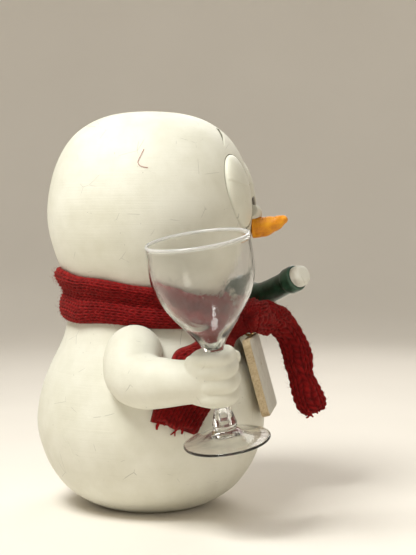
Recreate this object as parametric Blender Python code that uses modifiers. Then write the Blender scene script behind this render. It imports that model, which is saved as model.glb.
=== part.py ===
"""A snowman figure with a goblet in its right hand and a bottle in its left.

Metres, +Z up. The origin is the centre of the flat base. The figure faces -Y and its right hand is at -X.
"""

from math import copysign, cos, pi, radians, sin, sqrt

import bmesh
import bpy
import numpy as np
from mathutils import Matrix, Vector

MM = 0.001

# The driving dimensions, in millimetres. A turned outline is (height, radius), from the top down.
FIT = 0.3  # what touching pieces keep between them
ROOM = 0.4  # the play at the blind end of a hole
HEIGHT = 260.5
NECK_Z = 134.0
BODY_OUTLINE = (
    (NECK_Z, 48), (130, 52.5), (122, 55.6), (112, 58.2), (102, 62.6), (92, 67.4), (80, 71.8), (66, 74.8),
    (53, 75.2), (40, 72.2), (27, 66.6), (14, 57), (5, 44.5), (0, 33),
)
HEAD_OUTLINE = (
    (HEIGHT, 0), (259.6, 14), (257.5, 27.5), (252.8, 39.6), (245, 50.3), (234.8, 58), (221.4, 63.9),
    (207, 67.2), (194, 68.4), (182, 67.4), (170, 64.4), (158, 59.8), (147, 54), (139, 49.5),
    (NECK_Z + FIT, 45),
)
TURNED_SIDES = 44

NECK_DOWEL = dict(radius=8, low=117, high=152)
SHOULDER = dict(y=-1, z=109, radius=4, inner=45, outer=67)

OUTSIDE = 80  # far enough for a cutter to leave the body or the head

EYE = dict(x=19.6, y=-60.0, z=206.8, width=17.6, height=24.2, depth=7.2, seat=5, turn=11, tilt=9, roll=16)
EYE_GROOVE = 0.5
PUPIL = dict(across=-10.1, up=-10.4, radius=4.2, thick=1.2, proud=-0.1)
BROW = ((9, -46.8, 247.3, 1.7), (16, -49.8, 242.3, 1.7), (23.5, -51.6, 236.5, 1.2))  # the left one's groove
BETWEEN_EYES_AT = Vector((0, -69, 211))
BETWEEN_EYES_SIZE = (4.2, 4, 15)
NOSE_FIT = 0.5
NOSE = ((58, 183.4, 3.2), (66.8, 183.9, 3.2), (68.3, 184, 7), (72, 184.2, 6.9), (77, 184.8, 6.2),
        (82.2, 186.7, 4.8), (87, 188.9, 3.3), (90, 190, 1.7))  # (forward, height, radius)

# The goblet's axis leans back and outwards. Its outline is (distance from the foot's rest plane, radius).
GOBLET_FOOT_AT = Vector((-82.8, -61.6, 55.7))
GOBLET_RIM_AT = Vector((-104.0, -46.8, 176.2))
BOWL_OUTER = ((124, 30.3), (117, 30.8), (108, 31), (99, 30), (90, 27), (81, 21.8), (72, 15), (65, 9.8),
              (60, 6.8), (54, 4.8), (46, 3.7), (36, 3.3), (28, 3.6), (21, 5.0), (15, 6.8), (12.6, 7.4))
BOWL_INNER = ((58.6, 0), (59.3, 2.4), (62.5, 4.6), (67, 7.2), (73, 13.8), (82, 20.8), (91, 25.8), (100, 28.8),
              (108, 29.8), (117, 29.6), (124, 29.2))
STEM_SOCKET = dict(depth=10, radius=3.1)
GRIP_FIT = 0.5  # round the bowl and the stem, which turn in the hand
FOOT_TOP = ((12.3, 7.4), (10.6, 7.4), (9, 6.6), (7, 9.6), (4.6, 14.5), (3.2, 20), (2.3, 26.2))
FOOT_UNDER = ((0.9, 26.2), (1.8, 20), (3, 13.5), (4.6, 8), (5.2, 0))
SPIGOT = dict(length=9.4, radius=2.8)

# The bottle's axis rises forwards and inwards from the left fist. Its outline is (distance below the
# lip, radius).
BOTTLE_LIP_AT = Vector((20.5, -96.0, 150.6))
BOTTLE_UP = Vector((-0.60, -0.71, 0.37))
BOTTLE_OUTLINE = ((0, 4.4), (0, 8.0), (1.2, 8.9), (8.6, 8.9), (9.6, 7.9), (22, 7.8), (33, 8.3), (38, 9.6),
                  (43, 12.6), (48, 14), (76, 14), (79, 12.6), (79, 0))
STOPPER = dict(radius=7.2, height=6.9)
STOPPER_BORE = 4.4
STOPPER_DEPTH = 12

# Each arm's centreline, from the shoulder to the wrist: (x, y, z, radius).
ARM_RIGHT = ((-60, -1, 112, 15.5), (-66, -1, 105, 17), (-73, -1, 96, 17), (-79, -10, 91.5, 16),
             (-86.5, -24, 91, 14.2), (-89, -38, 92, 13.4), (-89, -48, 93, 13.6))
ARM_LEFT = ((60, -1, 112, 15.5), (66, -5, 104, 16.5), (76, -17, 94, 16.5), (81, -33, 91, 15.5),
            (77, -46, 98, 14), (66, -54, 111, 13), (58, -58, 119, 13))
FIST_RIGHT_AT = Vector((-88.5, -53.5, 94.5))
FIST_LEFT_AT = Vector((55, -60, 125))
FIST = dict(thick=15.5, wide=16.5, tall=17, roundness=0.62)

SIGN = dict(width=58, height=51, thick=5.5, corner=5, hinge_y=-65.4, hinge_z=115.6, lean=15.2, drop=3.6,
            screw=13, hanger_half=6, hanger_leg=16)
WIRE = 0.8  # the radius of the hanger's and the screw eye's wire
SCREW_EYE_RING = 2.7
HANGER_BEND = 1.4
BRIDGE_AT = Vector((0, -68, 193))
BRIDGE_SIZE = (7.5, 6.2, 6.5)

# The scarf: one knitted strip, wound once round the neck and tied in front.
SCARF_THICK = 5.6
TAIL_THICK = 4.4  # where it lies flat
STRIP_ROUNDNESS = 0.6
WRAP_LOW = (119.5, 124)  # the wound part's lower edge, in front and behind
WRAP_HIGH = (138.5, 157.5)
WRAP_OUT_LOW = (4.0, 0.8)  # how far the middle of each edge stands off the wood, in front and behind
WRAP_OUT_HIGH = (4.0, 2.4)
TAIL_RIGHT = ((-16.6, -67.5, 121.5, 14), (-30, -60, 121.5, 17), (-42, -52, 115, 24), (-52, -47, 103, 28),
              (-60.5, -43, 90, 28), (-66, -38, 78, 28), (-70.5, -33, 69, 27))  # (x, y, z, width)
TAIL_LEFT = ((16.6, -75, 124, 19), (22, -78, 123.4, 19), (27.5, -82, 120.5, 19), (32.5, -87, 114, 19),
             (36, -92.5, 102, 18.5), (38.5, -97.5, 84, 18), (40.5, -103, 68, 19), (41.5, -107, 58, 18))
KNOT_AT = Vector((0, -71.6, 129.7))
KNOT_SIZE = Vector((15.5, 9.2, 9.4))


def empty_scene():
    for item in list(bpy.data.objects):
        bpy.data.objects.remove(item, do_unlink=True)
    for name in ("snowman_figure", "cutters"):
        bpy.context.scene.collection.children.link(bpy.data.collections.new(name))


def finish(name, colour, roughness, metallic=0.0, alpha=1.0):
    """A plain Principled material."""
    material = bpy.data.materials.new(name)
    material.use_nodes = True
    shader = material.node_tree.nodes["Principled BSDF"]
    shader.inputs["Base Color"].default_value = (*colour, 1)
    shader.inputs["Roughness"].default_value = roughness
    shader.inputs["Metallic"].default_value = metallic
    shader.inputs["Alpha"].default_value = alpha
    return material


def add(name, mesh, material=None):
    """The mesh as a named part, or as a hidden cutter when it has no material."""
    item = bpy.data.objects.new(name, mesh)
    bpy.data.collections["snowman_figure" if material else "cutters"].objects.link(item)
    if material:
        mesh.materials.append(material)
    else:
        item.hide_render = True
        item.display_type = "WIRE"
    mesh.shade_smooth()
    return item


def smooth_through(points, steps):
    """Catmull-Rom points through these ones, steps to each stretch."""
    p = np.array(points, float)
    p = np.vstack([2 * p[0] - p[1], p, 2 * p[-1] - p[-2]])
    found = []
    for a, b, c, d in zip(p, p[1:], p[2:], p[3:]):
        for t in np.arange(steps) / steps:
            found.append(0.5 * (2 * b + (c - a) * t + (2 * a - 5 * b + 4 * c - d) * t**2
                                + (3 * b - a - 3 * c + d) * t**3))
    return np.array([*found, p[-2]])


def upright(along):
    """The rotation that turns +Z to this direction."""
    return Vector(along).to_track_quat("Z", "Y").to_matrix().to_4x4()


def turned(name, outline, material=None, sides=TURNED_SIDES, axis=None):
    """A solid of revolution from its outline, top first. axis is its foot's place and its direction."""
    mesh = bpy.data.meshes.new(name)
    edges = [(i, i + 1) for i in range(len(outline) - 1)]
    mesh.from_pydata([(r * MM, 0, z * MM) for z, r in outline], edges, [])
    item = add(name, mesh, material)
    screw = item.modifiers.new("turn", "SCREW")
    screw.axis = "Z"
    screw.steps = screw.render_steps = sides
    screw.use_merge_vertices = True
    screw.merge_threshold = 0.00001
    screw.use_smooth_shade = True
    if axis:
        item.matrix_world = Matrix.Translation(axis[0] * MM) @ upright(axis[1])
    return item


def closed_outline(outline):
    """The outline with its flat ends carried in to the axis."""
    low, high = outline[-1], outline[0]
    return ([(high[0], 0)] if high[1] else []) + [*outline] + ([(low[0], 0)] if low[1] else [])


def grown(outline, by):
    """The outline moved outwards all along, for the space that a piece needs. Its far end comes first."""
    p = np.array(outline, float)
    run = np.gradient(p, axis=0)
    out = np.stack([run[:, 1], -run[:, 0]], axis=1) / np.linalg.norm(run, axis=1)[:, None]
    p += by * out
    p[:, 1] = np.maximum(p[:, 1], 0)
    return [tuple(q) for q in p]


def face_outwards(bm):
    """Turns a closed mesh's faces round when they all point in."""
    if bm.calc_volume(signed=True) < 0:
        bmesh.ops.reverse_faces(bm, faces=bm.faces)


def rod(name, start, end, radius, material=None, sides=24):
    """A round bar between two points, in millimetres."""
    start, end = Vector(start), Vector(end)
    bm = bmesh.new()
    bmesh.ops.create_cone(bm, cap_ends=True, segments=sides, radius1=radius * MM, radius2=radius * MM,
                          depth=(end - start).length * MM)
    bm.transform(Matrix.Translation((start + end) / 2 * MM) @ upright(end - start))
    mesh = bpy.data.meshes.new(name)
    bm.to_mesh(mesh)
    bm.free()
    item = add(name, mesh, material)
    mesh.set_sharp_from_angle(angle=radians(40))
    return item


def tube(name, points, material=None, resolution=3, grow=0.0):
    """A round bar of changing radius along (x, y, z, radius) points, in millimetres."""
    curve = bpy.data.curves.new(name + "_line", "CURVE")
    curve.dimensions = "3D"
    curve.bevel_depth = 1.0
    curve.bevel_resolution = resolution
    curve.use_fill_caps = True
    spline = curve.splines.new("POLY")
    spline.points.add(len(points) - 1)
    for point, (x, y, z, radius) in zip(spline.points, points):
        point.co = (x * MM, y * MM, z * MM, 1)
        point.radius = (radius + grow) * MM
    line = bpy.data.objects.new(name + "_line", curve)
    bpy.data.collections["cutters"].objects.link(line)
    mesh = bpy.data.meshes.new_from_object(line.evaluated_get(bpy.context.evaluated_depsgraph_get()))
    bpy.data.objects.remove(line, do_unlink=True)
    bm = bmesh.new()
    bm.from_mesh(mesh)
    bmesh.ops.remove_doubles(bm, verts=bm.verts, dist=0.00001)
    face_outwards(bm)
    bm.to_mesh(mesh)
    bm.free()
    mesh.materials.clear()
    return add(name, mesh, material)


def ball(name, radii, place, material=None, sides=24, rings=16, roundness=1.0):
    """An ellipsoid, squarer as roundness falls below 1. Its place is a matrix."""
    bm = bmesh.new()
    bmesh.ops.create_uvsphere(bm, u_segments=sides, v_segments=rings, radius=1)
    for vert in bm.verts:
        flat = sqrt(vert.co.x**2 + vert.co.y**2)
        level = flat**roundness
        x, y = (copysign(abs(c / max(flat, 1e-9)) ** roundness, c) * level for c in vert.co[:2])
        rise = copysign(abs(vert.co.z) ** roundness, vert.co.z)
        vert.co = (x * radii[0] * MM, y * radii[1] * MM, rise * radii[2] * MM)
    bm.transform(place)
    mesh = bpy.data.meshes.new(name)
    bm.to_mesh(mesh)
    bm.free()
    return add(name, mesh, material)


def join(item, other, operation="DIFFERENCE"):
    """Adds other to the item, or cuts it away, and leaves it as a hidden tool."""
    cut = item.modifiers.new(other.name, "BOOLEAN")
    cut.operation = operation
    cut.solver = "EXACT"
    cut.use_self = operation == "UNION"  # a bent tube crosses itself inside its elbow
    cut.object = other


def strip(name, path, material, thick, closed=False, sides=8):
    """A flat band of oval section through (centre, direction of its width, width, normal) stations."""
    bm = bmesh.new()
    rings = []
    for centre, across, width, normal in path:
        ring = []
        for i in range(sides):
            angle = 2 * pi * i / sides
            side, rise = cos(angle), sin(angle)
            side = copysign(abs(side) ** STRIP_ROUNDNESS, side)
            rise = copysign(abs(rise) ** STRIP_ROUNDNESS, rise)
            ring.append(bm.verts.new((centre + across * side * width / 2 + normal * rise * thick / 2) * MM))
        rings.append(ring)
    pairs = list(zip(rings, rings[1:])) + ([(rings[-1], rings[0])] if closed else [])
    for near, far in pairs:
        for i in range(sides):
            j = (i + 1) % sides
            bm.faces.new((near[i], near[j], far[j], far[i]))
    if not closed:
        bm.faces.new(list(reversed(rings[0])))
        bm.faces.new(rings[-1])
    face_outwards(bm)
    mesh = bpy.data.meshes.new(name)
    bm.to_mesh(mesh)
    bm.free()
    return add(name, mesh, material)


def radius_at(outline, z):
    """The radius of a turned outline at a height, in millimetres."""
    p = np.array(outline, float)[::-1]
    return float(np.interp(z, p[:, 0], p[:, 1]))


def hugging(points):
    """A tail's stations along (x, y, z, width) points, its width lying along the body."""
    p = smooth_through(points, 4)
    run = np.gradient(p[:, :3], axis=0)
    stations = []
    for (x, y, z, width), along in zip(p, run):
        slope = (radius_at(BODY_OUTLINE, z - 4) - radius_at(BODY_OUTLINE, z + 4)) / 8
        normal = Vector((x, y, slope * sqrt(x * x + y * y))).normalized()
        along = Vector(along).normalized()
        across = along.cross(normal).normalized()
        stations.append((Vector((x, y, z)), across, width, across.cross(along).normalized()))
    return stations


def hanging(points):
    """A tail's stations along (x, y, z, width) points, its width in the plane that it hangs in."""
    p = smooth_through(points, 4)
    run = np.gradient(p[:, :3], axis=0)
    stations = []
    for (x, y, z, width), along in zip(p, run):
        along = Vector(along).normalized()
        normal = (Vector((-1, 0, 0)) - along * -along.x).normalized()
        stations.append((Vector((x, y, z)), along.cross(normal), width, normal))
    return stations


def round_the_neck(turns=40):
    """The wound part's stations: higher and wider behind, lower in front."""
    stations = []
    for i in range(turns):
        angle = 2 * pi * i / turns
        outward = Vector((sin(angle), -cos(angle), 0))
        behind = 0.5 - 0.5 * cos(angle)
        edges = []
        for heights, offs in ((WRAP_LOW, WRAP_OUT_LOW), (WRAP_HIGH, WRAP_OUT_HIGH)):
            z = heights[0] + (heights[1] - heights[0]) * behind
            off = offs[0] + (offs[1] - offs[0]) * behind
            wood = max(radius_at(BODY_OUTLINE if z < NECK_Z else HEAD_OUTLINE, z), BODY_OUTLINE[0][1])
            edges.append(outward * (wood + off) + Vector((0, 0, z)))
        low, high = edges
        across = (high - low).normalized()
        tangent = Vector((cos(angle), sin(angle), 0))
        stations.append(((low + high) / 2, across, (high - low).length, tangent.cross(across).normalized()))
    return stations


def goblet_axis():
    return GOBLET_FOOT_AT, (GOBLET_RIM_AT - GOBLET_FOOT_AT).normalized()


def eye_frame(side):
    """The matrix of an eye: x across, towards +X; y up, leaning outwards; z out of the face."""
    turn, tilt = radians(EYE["turn"]) * side, radians(EYE["tilt"])
    out = Vector((sin(turn) * cos(tilt), -cos(turn) * cos(tilt), sin(tilt)))
    across = Vector((cos(turn), sin(turn), 0))
    frame = Matrix((across, out.cross(across), out)).transposed().to_4x4()
    lean = Matrix.Rotation(-side * radians(EYE["roll"]), 4, "Z")
    return Matrix.Translation(Vector((side * EYE["x"], EYE["y"], EYE["z"])) * MM) @ frame @ lean


def prism(name, half_width, half_height, low, high, place, material=None, sides=32):
    """An oval bar along the local z axis, from low to high."""
    bm = bmesh.new()
    bmesh.ops.create_cone(bm, cap_ends=True, segments=sides, radius1=1, radius2=1, depth=1)
    bm.transform(place @ Matrix.Diagonal((half_width * MM, half_height * MM, (high - low) * MM, 1))
                 @ Matrix.Translation((0, 0, (high + low) / 2 / (high - low))))
    mesh = bpy.data.meshes.new(name)
    bm.to_mesh(mesh)
    bm.free()
    return add(name, mesh, material)


def neck_bar(name, low, high, grow=0.0, material=None):
    """A bar along the neck dowel's axis, between two heights."""
    return rod(name, (0, 0, low), (0, 0, high), NECK_DOWEL["radius"] + grow, material)


def shoulder_bar(name, side, inner, outer, grow=0.0, material=None):
    """A bar along a shoulder dowel's axis, between two distances from the middle."""
    ends = [(side * x, SHOULDER["y"], SHOULDER["z"]) for x in (inner, outer)]
    return rod(name, *ends, SHOULDER["radius"] + grow, material, sides=20)


def make_body(paint):
    body = turned("body", closed_outline(BODY_OUTLINE), paint)
    join(body, neck_bar("neck_hole_low", NECK_DOWEL["low"] - ROOM, HEIGHT, FIT))
    for side, word in ((-1, "right"), (1, "left")):
        join(body, shoulder_bar(f"shoulder_hole_{word}", side, SHOULDER["inner"] - ROOM, OUTSIDE, FIT))
        leg = (side * SIGN["hanger_half"], SIGN["hinge_y"], SIGN["hinge_z"])
        inside = (leg[0], leg[1] + SIGN["hanger_leg"] + ROOM, leg[2])
        join(body, rod(f"hanger_hole_{word}", inside, leg, WIRE + FIT, sides=12))
    return body


def make_head(paint):
    head = turned("head", closed_outline(HEAD_OUTLINE), paint)
    join(head, ball("nose_bridge", BRIDGE_SIZE, Matrix.Translation(BRIDGE_AT * MM)), "UNION")
    for side, word in ((-1, "right"), (1, "left")):
        place = eye_frame(side)
        groove = EYE_GROOVE
        join(head, prism(f"eye_socket_{word}", EYE["width"] + groove, EYE["height"] + groove,
                         -EYE["seat"] - ROOM, OUTSIDE, place))
        brow = [(side * x, y, z, radius) for x, y, z, radius in BROW]
        join(head, tube(f"brow_cut_{word}", brow, resolution=1))
    join(head, ball("between_eyes", BETWEEN_EYES_SIZE, Matrix.Translation(BETWEEN_EYES_AT * MM)))
    join(head, tube("nose_hole", nose_line(back=2.5), grow=NOSE_FIT))
    join(head, neck_bar("neck_hole_high", 0, NECK_DOWEL["high"] + ROOM, FIT))
    return head


def nose_line(back=0.0):
    """The carrot's centreline, its peg first, which a hole takes a little deeper."""
    peg, *rest = NOSE
    stations = [(peg[0] - back, *peg[1:]), *rest[:2]]
    bent = smooth_through(rest[1:], 2)[1:]
    return [(0, -forward, height, radius) for forward, height, radius in (*stations, *bent)]


def make_eye(side, word, white, dark):
    place = eye_frame(side)
    eye = ball(f"eye_{word}", (EYE["width"], EYE["height"], EYE["depth"]), place, white, sides=32, rings=20)
    join(eye, prism(f"eye_back_{word}", OUTSIDE, OUTSIDE, -OUTSIDE, -EYE["seat"], place))
    a, b = side * PUPIL["across"] / EYE["width"], PUPIL["up"] / EYE["height"]
    rise = EYE["depth"] * sqrt(1 - a * a - b * b)
    spot = Vector((side * PUPIL["across"], PUPIL["up"], rise))
    out = Vector((a / EYE["width"], b / EYE["height"], rise / EYE["depth"] ** 2)).normalized()
    out = (out + Vector((0, 0, 1))).normalized()
    seat = place @ Matrix.Translation(spot * MM) @ upright(out)
    radius, top = PUPIL["radius"], PUPIL["proud"]
    low = top - PUPIL["thick"]
    hole = radius + FIT
    join(eye, prism(f"pupil_seat_{word}", hole, hole, low - FIT, EYE["depth"], seat, sides=24))
    prism(f"pupil_{word}", radius, radius, low, top, seat, dark, sides=24)


def make_arm(word, line, fist_at, grip, held, paint):
    """An arm and its fist, hollowed where it meets the body, the dowel and what it holds."""
    side = -1 if line[0][0] < 0 else 1
    arm = tube(f"arm_{word}", smooth_through(line, 3), paint, resolution=4)
    forearm = Vector(line[-1][:3]) - Vector(line[-3][:3])
    up = grip.normalized()
    outward = forearm.cross(up).normalized()
    place = Matrix((outward, up.cross(outward), up)).transposed().to_4x4()
    place = Matrix.Translation(fist_at * MM) @ place
    size = (FIST["thick"], FIST["wide"], FIST["tall"])
    fist = ball(f"fist_{word}", size, place, roundness=FIST["roundness"])
    join(arm, fist, "UNION")
    join(arm, bpy.data.objects["body_space"])
    join(arm, held)
    join(arm, shoulder_bar(f"dowel_space_{word}", side, 0, SHOULDER["outer"] + ROOM, FIT))


def make_goblet(clear):
    axis = goblet_axis()
    stem = STEM_SOCKET
    low = BOWL_OUTER[-1][0]
    socket = [(low, stem["radius"]), (low + stem["depth"], stem["radius"]), (low + stem["depth"], 0)]
    # The outline runs from the cup's bottom out over the rim and down to the socket in the stem.
    outline = [*BOWL_INNER, *BOWL_OUTER, *socket]
    turned("goblet_bowl", outline, clear, sides=30, axis=axis)
    top, spigot = FOOT_TOP[0][0], SPIGOT
    peg = [(top + spigot["length"], 0), (top + spigot["length"], spigot["radius"]), (top, spigot["radius"])]
    turned("goblet_foot", [*peg, *FOOT_TOP, *FOOT_UNDER], clear, sides=30, axis=axis)
    space = grown(BOWL_OUTER, GRIP_FIT)
    return turned("goblet_space", closed_outline(space), sides=30, axis=axis)


def make_bottle(glass, white):
    up = BOTTLE_UP.normalized()
    axis = (BOTTLE_LIP_AT, up)
    bore = [(-STOPPER_DEPTH, 0), (-STOPPER_DEPTH, STOPPER_BORE), (0, STOPPER_BORE)]
    outline = [(-down, radius) for down, radius in BOTTLE_OUTLINE[1:]]
    turned("wine_bottle", [*bore, *outline], glass, sides=32, axis=axis)
    shank, end = STOPPER_BORE - FIT, ROOM - STOPPER_DEPTH
    dome = []
    for t in np.linspace(1, 0, 8):
        dome.append((FIT + STOPPER["height"] * sin(pi / 2 * t), STOPPER["radius"] * sqrt(1 - t**2.6)))
    turned("bottle_stopper", [*dome, (FIT, shank), (end, shank), (end, 0)], white, sides=24, axis=axis)
    space = [(-down, radius + FIT) for down, radius in BOTTLE_OUTLINE[1:-2]]
    space.append((-BOTTLE_OUTLINE[-1][0] - ROOM, space[-1][1]))
    return turned("bottle_space", closed_outline(space), sides=32, axis=axis)


def make_sign(wood, brass):
    """A board on a screw eye that hangs from a wire staple in the chest. The origin is on the hinge axis."""
    s = SIGN
    curve = bpy.data.curves.new("board_outline", "CURVE")
    curve.dimensions = "2D"
    curve.fill_mode = "BOTH"
    corner, half = s["corner"], s["width"] / 2
    outline = []
    for cx, cy, start in ((half - corner, -s["drop"] - corner, 0), (corner - half, -s["drop"] - corner, 90),
                          (corner - half, corner - s["drop"] - s["height"], 180),
                          (half - corner, corner - s["drop"] - s["height"], 270)):
        for step in range(5):
            angle = radians(start + 22.5 * step)
            outline.append((cx + corner * cos(angle), cy + corner * sin(angle)))
    spline = curve.splines.new("POLY")
    spline.points.add(len(outline) - 1)
    for point, (x, y) in zip(spline.points, outline):
        point.co = (x * MM, y * MM, 0, 1)
    spline.use_cyclic_u = True
    curve.extrude = s["thick"] / 2 * MM
    line = bpy.data.objects.new("board_outline", curve)
    bpy.data.collections["cutters"].objects.link(line)
    mesh = bpy.data.meshes.new_from_object(line.evaluated_get(bpy.context.evaluated_depsgraph_get()))
    bpy.data.objects.remove(line, do_unlink=True)
    bm = bmesh.new()
    bm.from_mesh(mesh)
    bmesh.ops.remove_doubles(bm, verts=bm.verts, dist=0.00001)
    bm.to_mesh(mesh)
    bm.free()
    mesh.materials.clear()
    board = add("sign_board", mesh, wood)
    hinge = Matrix.Translation(Vector((0, s["hinge_y"], s["hinge_z"])) * MM)
    swung = hinge @ Matrix.Rotation(radians(90 - s["lean"]), 4, "X")
    board.matrix_world = swung
    edge = board.modifiers.new("edge", "BEVEL")
    edge.width = 0.7 * MM
    edge.segments = 2
    edge.limit_method = "ANGLE"
    edge.angle_limit = radians(50)
    mesh.shade_flat()
    down = (swung.to_3x3() @ Vector((0, -1, 0))).normalized()
    at = Vector((0, s["hinge_y"], s["hinge_z"]))
    join(board, rod("screw_hole", at, at + down * (s["screw"] + ROOM), WIRE + FIT, sides=12))
    bm = bmesh.new()
    mesh = bpy.data.meshes.new("sign_screw_eye")
    ring, turns, sides = SCREW_EYE_RING, 24, 8
    verts = [[bm.verts.new((WIRE * sin(b) * MM, (ring + WIRE * cos(b)) * cos(a) * MM,
                            (ring + WIRE * cos(b)) * sin(a) * MM))
              for b in (2 * pi * j / sides for j in range(sides))]
             for a in (2 * pi * i / turns for i in range(turns))]
    for i in range(turns):
        for j in range(sides):
            k, m = (i + 1) % turns, (j + 1) % sides
            bm.faces.new((verts[i][j], verts[k][j], verts[k][m], verts[i][m]))
    face_outwards(bm)
    bm.to_mesh(mesh)
    bm.free()
    eye = add("sign_screw_eye", mesh, brass)
    eye.matrix_world = hinge
    join(eye, rod("screw_shank", at + down * ring, at + down * s["screw"], WIRE, sides=12), "UNION")
    half, bend = s["hanger_half"], HANGER_BEND
    legs = [(-half, at.y + s["hanger_leg"], at.z), (-half, at.y + bend, at.z),
            (-half + 0.3 * bend, at.y + 0.3 * bend, at.z), (-half + bend, at.y, at.z)]
    line = legs + [(-x, y, z) for x, y, z in reversed(legs)]
    tube("sign_hanger", [(*p, WIRE) for p in line], brass, resolution=1)


def make_scarf(wool):
    strip("scarf_wrap", round_the_neck(), wool, SCARF_THICK, closed=True)
    strip("scarf_tail_right", hugging(TAIL_RIGHT), wool, TAIL_THICK)
    strip("scarf_tail_left", hanging(TAIL_LEFT), wool, SCARF_THICK)
    ball("scarf_knot", KNOT_SIZE, Matrix.Translation(KNOT_AT * MM), wool, sides=20, rings=12, roundness=0.8)


def make_dowels(beech):
    neck_bar("neck_dowel", NECK_DOWEL["low"], NECK_DOWEL["high"], material=beech)
    for side, word in ((-1, "right"), (1, "left")):
        shoulder_bar(f"shoulder_dowel_{word}", side, SHOULDER["inner"], SHOULDER["outer"], material=beech)


def build():
    empty_scene()
    white = (0.83, 0.81, 0.72)
    make_body(finish("body_paint", white, 0.6))
    make_head(finish("head_paint", white, 0.6))
    make_dowels(finish("beech", (0.62, 0.44, 0.26), 0.7))
    for side, word in ((-1, "right"), (1, "left")):
        make_eye(side, word, finish(f"eye_paint_{word}", (0.84, 0.82, 0.74), 0.5),
                 finish(f"pupil_paint_{word}", (0.03, 0.03, 0.03), 0.3))
    tube("carrot_nose", nose_line(), finish("carrot_paint", (0.85, 0.36, 0.02), 0.45), resolution=4)
    turned("body_space", closed_outline(grown(BODY_OUTLINE, FIT)))
    goblet_space = make_goblet(finish("clear_plastic", (0.95, 0.95, 0.95), 0.08, alpha=0.3))
    green = finish("green_paint", (0.02, 0.10, 0.05), 0.3)
    bottle_space = make_bottle(green, finish("stopper_paint", white, 0.6))
    paint = finish("arm_paint_right", white, 0.6)
    make_arm("right", ARM_RIGHT, FIST_RIGHT_AT, goblet_axis()[1], goblet_space, paint)
    paint = finish("arm_paint_left", white, 0.6)
    make_arm("left", ARM_LEFT, FIST_LEFT_AT, BOTTLE_UP, bottle_space, paint)
    brass = finish("brass", (0.75, 0.55, 0.25), 0.3, metallic=1.0)
    make_sign(finish("sign_paint", (0.62, 0.56, 0.46), 0.8), brass)
    make_scarf(finish("red_wool", (0.42, 0.01, 0.01), 0.95))


build()
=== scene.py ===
"""The looks of the snowman figure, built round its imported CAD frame.

It works in the row frame: metres, +Z up, facing -Y. Shapes are given in millimetres.
"""

from math import cos, pi, radians, sin, sqrt

import bpy
import numpy as np
from mathutils import Matrix, Vector


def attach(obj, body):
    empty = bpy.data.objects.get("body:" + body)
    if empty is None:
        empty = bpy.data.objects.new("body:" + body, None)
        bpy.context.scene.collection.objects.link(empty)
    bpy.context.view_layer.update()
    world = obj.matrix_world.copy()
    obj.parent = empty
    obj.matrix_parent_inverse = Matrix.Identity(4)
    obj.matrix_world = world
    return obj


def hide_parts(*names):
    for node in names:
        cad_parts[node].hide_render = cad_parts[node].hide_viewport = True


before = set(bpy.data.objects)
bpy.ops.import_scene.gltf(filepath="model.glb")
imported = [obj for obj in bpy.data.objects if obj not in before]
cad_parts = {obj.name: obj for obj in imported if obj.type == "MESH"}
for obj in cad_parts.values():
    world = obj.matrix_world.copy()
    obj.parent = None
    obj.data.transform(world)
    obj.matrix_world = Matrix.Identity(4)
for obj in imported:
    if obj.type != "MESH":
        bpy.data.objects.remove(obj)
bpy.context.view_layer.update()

MM = 0.001
rng = np.random.default_rng(7)

# The turned outlines and the other measures that part.py gives, in millimetres.
HEIGHT = 260.5
NECK_Z = 134.0
FIT = 0.3
BODY_OUTLINE = (
    (NECK_Z, 48), (130, 52.5), (122, 55.6), (112, 58.2), (102, 62.6), (92, 67.4), (80, 71.8), (66, 74.8),
    (53, 75.2), (40, 72.2), (27, 66.6), (14, 57), (5, 44.5), (0, 33),
)
HEAD_OUTLINE = (
    (HEIGHT, 0), (259.6, 14), (257.5, 27.5), (252.8, 39.6), (245, 50.3), (234.8, 58), (221.4, 63.9),
    (207, 67.2), (194, 68.4), (182, 67.4), (170, 64.4), (158, 59.8), (147, 54), (139, 49.5),
    (NECK_Z + FIT, 45),
)
NECK_BORE = dict(low=116.6, high=152.4, radius=8.3, mouth=8.9)
SHOULDER = dict(y=-1, z=109, radius=4.3)
EYE = dict(x=19.6, y=-60.0, z=206.8, width=17.6, height=24.2, depth=7.2, seat=5, turn=11, tilt=9, roll=16)
PUPIL = dict(across=-10.1, up=-10.4, radius=4.2)
GOBLET_FOOT_AT = Vector((-82.8, -61.6, 55.7))
GOBLET_UP = (Vector((-104.0, -46.8, 176.2)) - GOBLET_FOOT_AT).normalized()
BOTTLE_LIP_AT = Vector((20.5, -96.0, 150.6))
BOTTLE_UP = Vector((-0.60, -0.71, 0.37)).normalized()
SIGN = dict(width=58, height=51, thick=5.5, corner=5, hinge_y=-65.4, hinge_z=115.6, lean=15.2, drop=3.6,
            half=6, leg=16, swing=38)
WIRE = 0.8  # the radius of the staple and the screw eye
WIRE_HOLE = 1.1


# ---- mesh tools, in millimetres


def through(points, steps):
    """Catmull-Rom points through these ones, steps to each stretch."""
    p = np.array(points, float)
    p = np.vstack([2 * p[0] - p[1], p, 2 * p[-1] - p[-2]])
    t = (np.arange(steps) / steps)[:, None]
    found = []
    for a, b, c, d in zip(p, p[1:], p[2:], p[3:]):
        found.append(0.5 * (2 * b + (c - a) * t + (2 * a - 5 * b + 4 * c - d) * t**2
                            + (3 * b - a - 3 * c + d) * t**3))
    return np.vstack([*found, p[-2]])


def grid(rows, cols, close_rows=False, close_cols=True):
    """The quads of a grid of rows × cols vertices."""
    r = np.arange(rows if close_rows else rows - 1)[:, None]
    c = np.arange(cols if close_cols else cols - 1)[None, :]
    r2, c2 = (r + 1) % rows, (c + 1) % cols
    return np.stack([r * cols + c, r * cols + c2, r2 * cols + c2, r2 * cols + c], -1).reshape(-1, 4).tolist()


def turn_round(count):
    """Evenly spaced angles round a full turn."""
    return np.arange(count) * 2 * pi / count


def unit(vectors):
    return vectors / np.maximum(np.linalg.norm(vectors, axis=-1, keepdims=True), 1e-9)


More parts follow.
